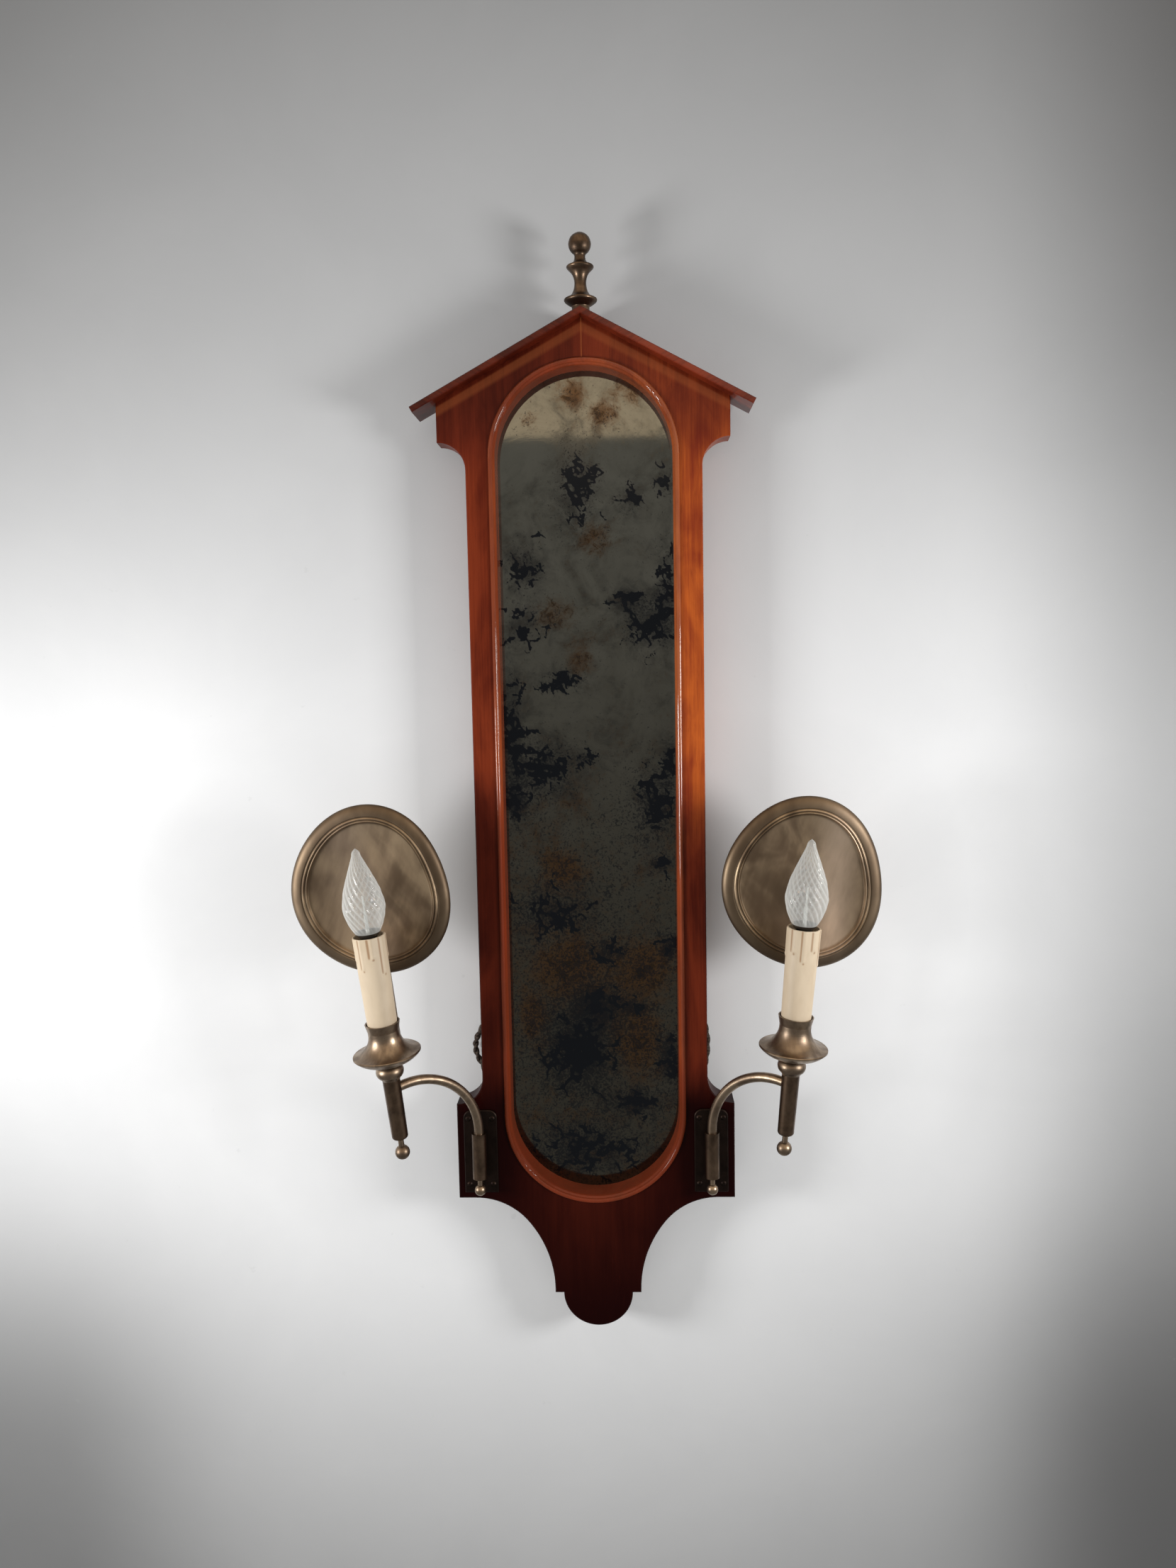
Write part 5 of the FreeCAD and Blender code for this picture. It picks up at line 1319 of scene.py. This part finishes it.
    # the reflector's front: inset from the rim and depth, mm
    PRESSING = (
        (0.0, 28.0), (0.1, 27.4), (0.5, 26.7), (1.2, 25.7), (2.2, 24.8), (3.6, 24.0),
        (5.4, 23.4), (7.2, 23.05), (8.8, 22.9), (9.3, 23.05), (9.6, 23.3), (9.9, 23.2),
        (10.4, 22.6), (11.0, 22.2), (11.6, 22.6), (12.1, 23.5), (12.5, 23.8),
        (12.9, 23.5), (13.4, 23.3), (13.9, 23.6), (14.5, 24.6), (15.2, 25.3),
        (17.0, 25.7), (21.0, 26.2), (27.0, 26.9), (33.0, 27.6), (40.0, 28.25),
        (46.0, 28.45),
    )
    # dark lines in the plate: how dark, the inset and the half width, mm
    GROOVES = ((1.0, 9.6, 0.4), (1.0, 12.5, 0.4), (0.8, 15.0, 0.9), (0.8, 0.0, 0.7))
    # the painted highlight, a bright upright band: its middle and half width in mm, and
    # how bright
    RUBBED = {Side.LEFT: (-12.0, 22.0, 0.30), Side.RIGHT: (27.0, 15.0, 0.85)}
    # waves of the rim: height in mm, count and start in degrees
    PLATE_WAVES = ((2.5, 1, -19.5), (3.5, 2, -7.6), (1.8, 3, -41.9))

    def reflector(self, finishes: Finishes) -> None:
        """The pressed plate: one profile drawn in from an egg-shaped rim.

        The rim's reach at the angle t from straight down is a mean plus three
        waves, h cos(n (t - s)); the front's depth depends on the inset alone,
        and the back is the front set back by the sheet's thickness.

        Args:
            finishes: The finishes to dress it with.
        """
        turns = np.radians(np.arange(0.0, 360.0, 2.0))
        reach = np.full(len(turns), self.plate_reach)
        for high, count, start in self.PLATE_WAVES:
            reach += high * np.cos(count * (turns - math.radians(start)))
        inset, depth = finely(np.array(self.PRESSING), 3)
        inner = np.array([0.6, 0.3, 0.0])
        radius = np.concatenate([reach - inset[:, None],
                                 (reach - inset[-1]) * inner[:, None]])
        radius = np.concatenate([radius[::-1], radius])
        y = np.concatenate([depth, np.full(3, self.plate_seat)])
        y = np.concatenate([y[::-1], y + self.plate_thick])
        points = np.stack(np.broadcast_arrays(
            -radius * np.sin(turns), y[:, None],
            self.plate_level - radius * np.cos(turns)), axis=2)
        drawn = np.concatenate([inset, np.full(3, 60.0)])
        drawn = np.concatenate([drawn[::-1], drawn])[:, None] + 0 * radius
        flange = np.clip((10.5 - drawn) / 2.0, 0, 1)
        groove = sum(deep * bell(drawn - at, wide) for deep, at, wide in self.GROOVES)
        # painted highlight: a bright upright band on the plate, faint on the flange
        middle, wide, high = self.RUBBED[self.side]
        rubbed = high * bell(points[:, :, 0] - middle, wide)
        piece = surface(f"reflector_{self.side.word}_pressed",
                        moved(points, self.place()),
                        grid_faces(len(y), len(turns), True),
                        finishes.get("sheet_brass"),
                        {"flange": flange, "groove": np.clip(groove, 0, 1),
                         "rubbed": rubbed * (1 - 0.7 * flange)})
        stand_in(piece, self.body, f"reflector_{self.side.word}")

    def build(self, finishes: Finishes) -> None:
        """Dresses the metal and makes the sleeve, the bulb and the reflector.

        Args:
            finishes: The finishes to dress it with.
        """
        for stem, finish in self.METALS + self.BRACKET:
            finishes.dress(f"{stem}_{self.side.word}", finish)
        self.sleeve(finishes)
        self.bulb(finishes)
        self.reflector(finishes)


def smooth_curve(knots: Array, values: Array, at: Array) -> Array:
    """A cubic through knots whose slope at each is the mean of its two chords.

    Args:
        knots: Rising places.
        values: The value at each knot.
        at: Where the curve is wanted.

    Returns:
        The values there.
    """
    slope = np.gradient(values, knots)
    index = np.clip(np.searchsorted(knots, at) - 1, 0, len(knots) - 2)
    step = knots[index + 1] - knots[index]
    t = (at - knots[index]) / step
    return ((2 * t ** 3 - 3 * t ** 2 + 1) * values[index]
            + (t ** 3 - 2 * t ** 2 + t) * step * slope[index]
            + (3 * t ** 2 - 2 * t ** 3) * values[index + 1]
            + (t ** 3 - t ** 2) * step * slope[index + 1])


def finely(knots: Array, per: int) -> tuple[Array, Array]:
    """A smooth line through points in a plane, with extra points between them.

    Each stretch is the cubic whose end slopes are half the chord across the
    neighbouring points.

    Args:
        knots: Rows of two numbers.
        per: How many points to give each stretch.

    Returns:
        The two columns of the finer line.
    """
    count = np.arange(len(knots), dtype=float)
    at = np.linspace(0.0, len(knots) - 1.0, (len(knots) - 1) * per + 1)
    return (smooth_curve(count, knots[:, 0], at), smooth_curve(count, knots[:, 1], at))


# room


@dataclass
class Room:
    """The pale wall and floor, two soft lamps and the light all round, with painted light
    and shade on the wall.
    """

    wall_y: float = 10.0 * MM
    floor_z: float = -1.3
    reach: float = 3.0
    ambient: float = 0.34
    lamp_power: float = 8.8
    lamp_size: float = 0.32
    lamps: tuple[Colour, ...] = ((-1.015, -0.561, -0.50), (1.02, -0.63, -0.365))
    aim: Colour = (0.0, -0.02, -0.36)

    # the wall's two paints, its chips, the floor's two paints
    paint: tuple[Colour, Colour] = ((0.80, 0.803, 0.807), (0.84, 0.842, 0.845))
    chipped: Colour = (0.4, 0.4, 0.39)
    boards: tuple[Colour, Colour] = ((0.74, 0.74, 0.73), (0.70, 0.70, 0.69))

    # what shines sees the room below the ceiling's edge and the ceiling above it
    room: Colour = (0.25, 0.245, 0.235)
    ceiling: Colour = (0.94, 0.78, 0.60)
    ceiling_edge: tuple[float, float] = (0.181, 0.187)
    through_glass: Colour = (0.7, 0.7, 0.7)
    backdrop: Colour = (0.78, 0.78, 0.78)

    def plane(self, name: str, corners: Array) -> bpy.types.Object:
        """A flat sheet of stage through four corners.

        Args:
            name: The sheet's name.
            corners: Four points in metres.

        Returns:
            The sheet.
        """
        mesh = bpy.data.meshes.new(name)
        mesh.from_pydata(corners.tolist(), [], [(0, 1, 2, 3)])
        sheet = bpy.data.objects.new(name, mesh)
        bpy.context.scene.collection.objects.link(sheet)
        return sheet

    def wall(self) -> None:
        """The wall, painted on its front with painted light and shade, and clear from
        behind.
        """
        r, y = self.reach, self.wall_y
        sheet = self.plane("wall", np.array([[-r, y, -r], [r, y, -r], [r, y, r],
                                             [-r, y, r]]))
        recipe, material = Recipe.of_material("wall_paint")
        cloud = recipe.noise(recipe.place(), 5.0, 5.0, 0.6, 0.4)
        chip = recipe.noise(recipe.place(), 70.0, 4.0, 0.65)
        x, _, z = recipe.axes()
        # painted light and shade: darker away from a pool of light round the mirror's
        # middle
        far = ((x + 0.06) * (x + 0.06) + (z + 0.33) * (z + 0.33) * 0.72) ** 0.5
        dim = 1.0 - 0.62 * far.over(0.25, 0.85)
        # painted shade in the lower corners and at the right edge
        corner = ((x + 0.02) ** 2.0).over(0.06, 0.25) * (0.0 - z).over(0.70, 1.0)
        dim = dim * (1.0 - 0.40 * corner) * (1.0 - 0.47 * x.over(0.31, 0.54))
        # painted light low down, painted shade towards the top
        dim = dim * (1.16 - 0.46 * z.over(-0.55, 0.06))
        colour = recipe.mix(dim, (0.0, 0.0, 0.0),
                            recipe.mix(cloud.over(0.3, 0.75), *self.paint))
        paint = recipe.node("ShaderNodeBsdfPrincipled", None, {
            "Base Color": recipe.mix(chip.over(0.7, 0.76) * 0.12, colour, self.chipped),
            "Roughness": 0.6,
            "Normal": recipe.bump(cloud + 0.15 * chip, 0.0012, 0.5)})
        clear = recipe.node("ShaderNodeBsdfTransparent")
        facing = recipe.node("ShaderNodeNewGeometry").outputs["Backfacing"]
        mixed = recipe.node("ShaderNodeMixShader", None,
                            {0: facing, 1: paint.outputs[0], 2: clear.outputs[0]})
        recipe.show(mixed.outputs[0])
        sheet.data.materials.append(material)
        sheet.visible_shadow = False
        sheet.visible_diffuse = False
        sheet.visible_transmission = False

    def floor(self) -> None:
        """A pale floor well below the object."""
        r, z = self.reach, self.floor_z
        sheet = self.plane("floor", np.array([[-r, -r, z], [r, -r, z], [r, r, z],
                                              [-r, r, z]]))
        sheet.visible_glossy = False
        sheet.data.materials.append(finish_material(
            "floor_paint", PlainFinish(*self.boards, 0.7, cloud=4.0, fine=60.0)))

    def sky(self) -> None:
        """Plain light all round; what shines sees a dim room under a pale ceiling."""
        world = bpy.data.worlds.new("room_light")
        world.use_nodes = True
        bpy.context.scene.world = world
        recipe = Recipe(world.node_tree)
        path = recipe.node("ShaderNodeLightPath")
        way = recipe.node("ShaderNodeTexCoord").outputs["Generated"]
        up = Tone(recipe, recipe.node("ShaderNodeSeparateXYZ", None, {0: way}).outputs[2])
        room = recipe.mix(up.over(*self.ceiling_edge), self.room, self.ceiling)
        seen = recipe.mix(path.outputs["Is Glossy Ray"],
                          (self.ambient, self.ambient, self.ambient), room)
        pale = recipe.mix(path.outputs["Is Transmission Ray"], seen, self.through_glass)
        shown = recipe.mix(path.outputs["Is Camera Ray"], pale, self.backdrop)
        back = recipe.node("ShaderNodeBackground", None,
                           {"Color": shown, "Strength": 1.0})
        recipe.show(back.outputs[0], "ShaderNodeOutputWorld")

    def lights(self) -> None:
        """One soft square lamp on either side, aimed at the mirror."""
        for index, place in enumerate(self.lamps):
            data = bpy.data.lights.new(f"side_lamp_{index}", "AREA")
            data.shape = "SQUARE"
            data.size = self.lamp_size
            data.energy = self.lamp_power
            lamp = bpy.data.objects.new(f"side_lamp_{index}", data)
            lamp.location = place
            way = Vector(self.aim) - Vector(place)
            lamp.rotation_euler = way.to_track_quat("-Z", "Y").to_euler()
            bpy.context.scene.collection.objects.link(lamp)

    def build(self) -> None:
        """Sets the whole stage."""
        self.wall()
        self.floor()
        self.sky()
        self.lights()
        bpy.context.scene.view_settings.view_transform = "Standard"


@dataclass
class Viewpoint:
    """The camera, where it stood for the photograph."""

    place: Colour = (0.03411, -1.023, -0.266)
    right: Colour = (0.99927, 0.03340, -0.01834)
    above: Colour = (0.014855, 0.101768, 0.994697)
    ahead: Colour = (-0.035091, 0.994247, -0.101198)
    lens: float = 27.03
    sensor: float = 36.0

    def build(self) -> None:
        """Makes the camera; the sensor's size lies along the picture's height."""
        data = bpy.data.cameras.new("viewpoint")
        data.lens = self.lens
        data.sensor_fit = "AUTO"
        data.sensor_width = self.sensor
        data.clip_start = 0.01
        data.clip_end = 50.0
        camera = bpy.data.objects.new("viewpoint", data)
        bpy.context.scene.collection.objects.link(camera)
        right, above = Vector(self.right), Vector(self.above)
        turn = Matrix((right, above, -Vector(self.ahead))).transposed().to_4x4()
        camera.matrix_world = Matrix.Translation(Vector(self.place)) @ turn
        bpy.context.scene.camera = camera


def main() -> None:
    """Builds the camera, the room and every piece in order."""
    logging.basicConfig(level=logging.INFO, format="%(name)s %(message)s")
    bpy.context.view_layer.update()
    Viewpoint().build()
    Room().build()
    finishes = Finishes()
    Case().build(finishes)
    Mirror().build(finishes)
    for side, bulge in ((Side.LEFT, 111.3), (Side.RIGHT, 101.5)):
        HeldFlex(side, bulge).build(finishes)
    for side, reach, lean in ((Side.LEFT, 78.5, 7.0), (Side.RIGHT, 74.5, 5.5)):
        CandleArm(side, reach, lean).build(finishes)


if __name__ == "__main__":
    main()
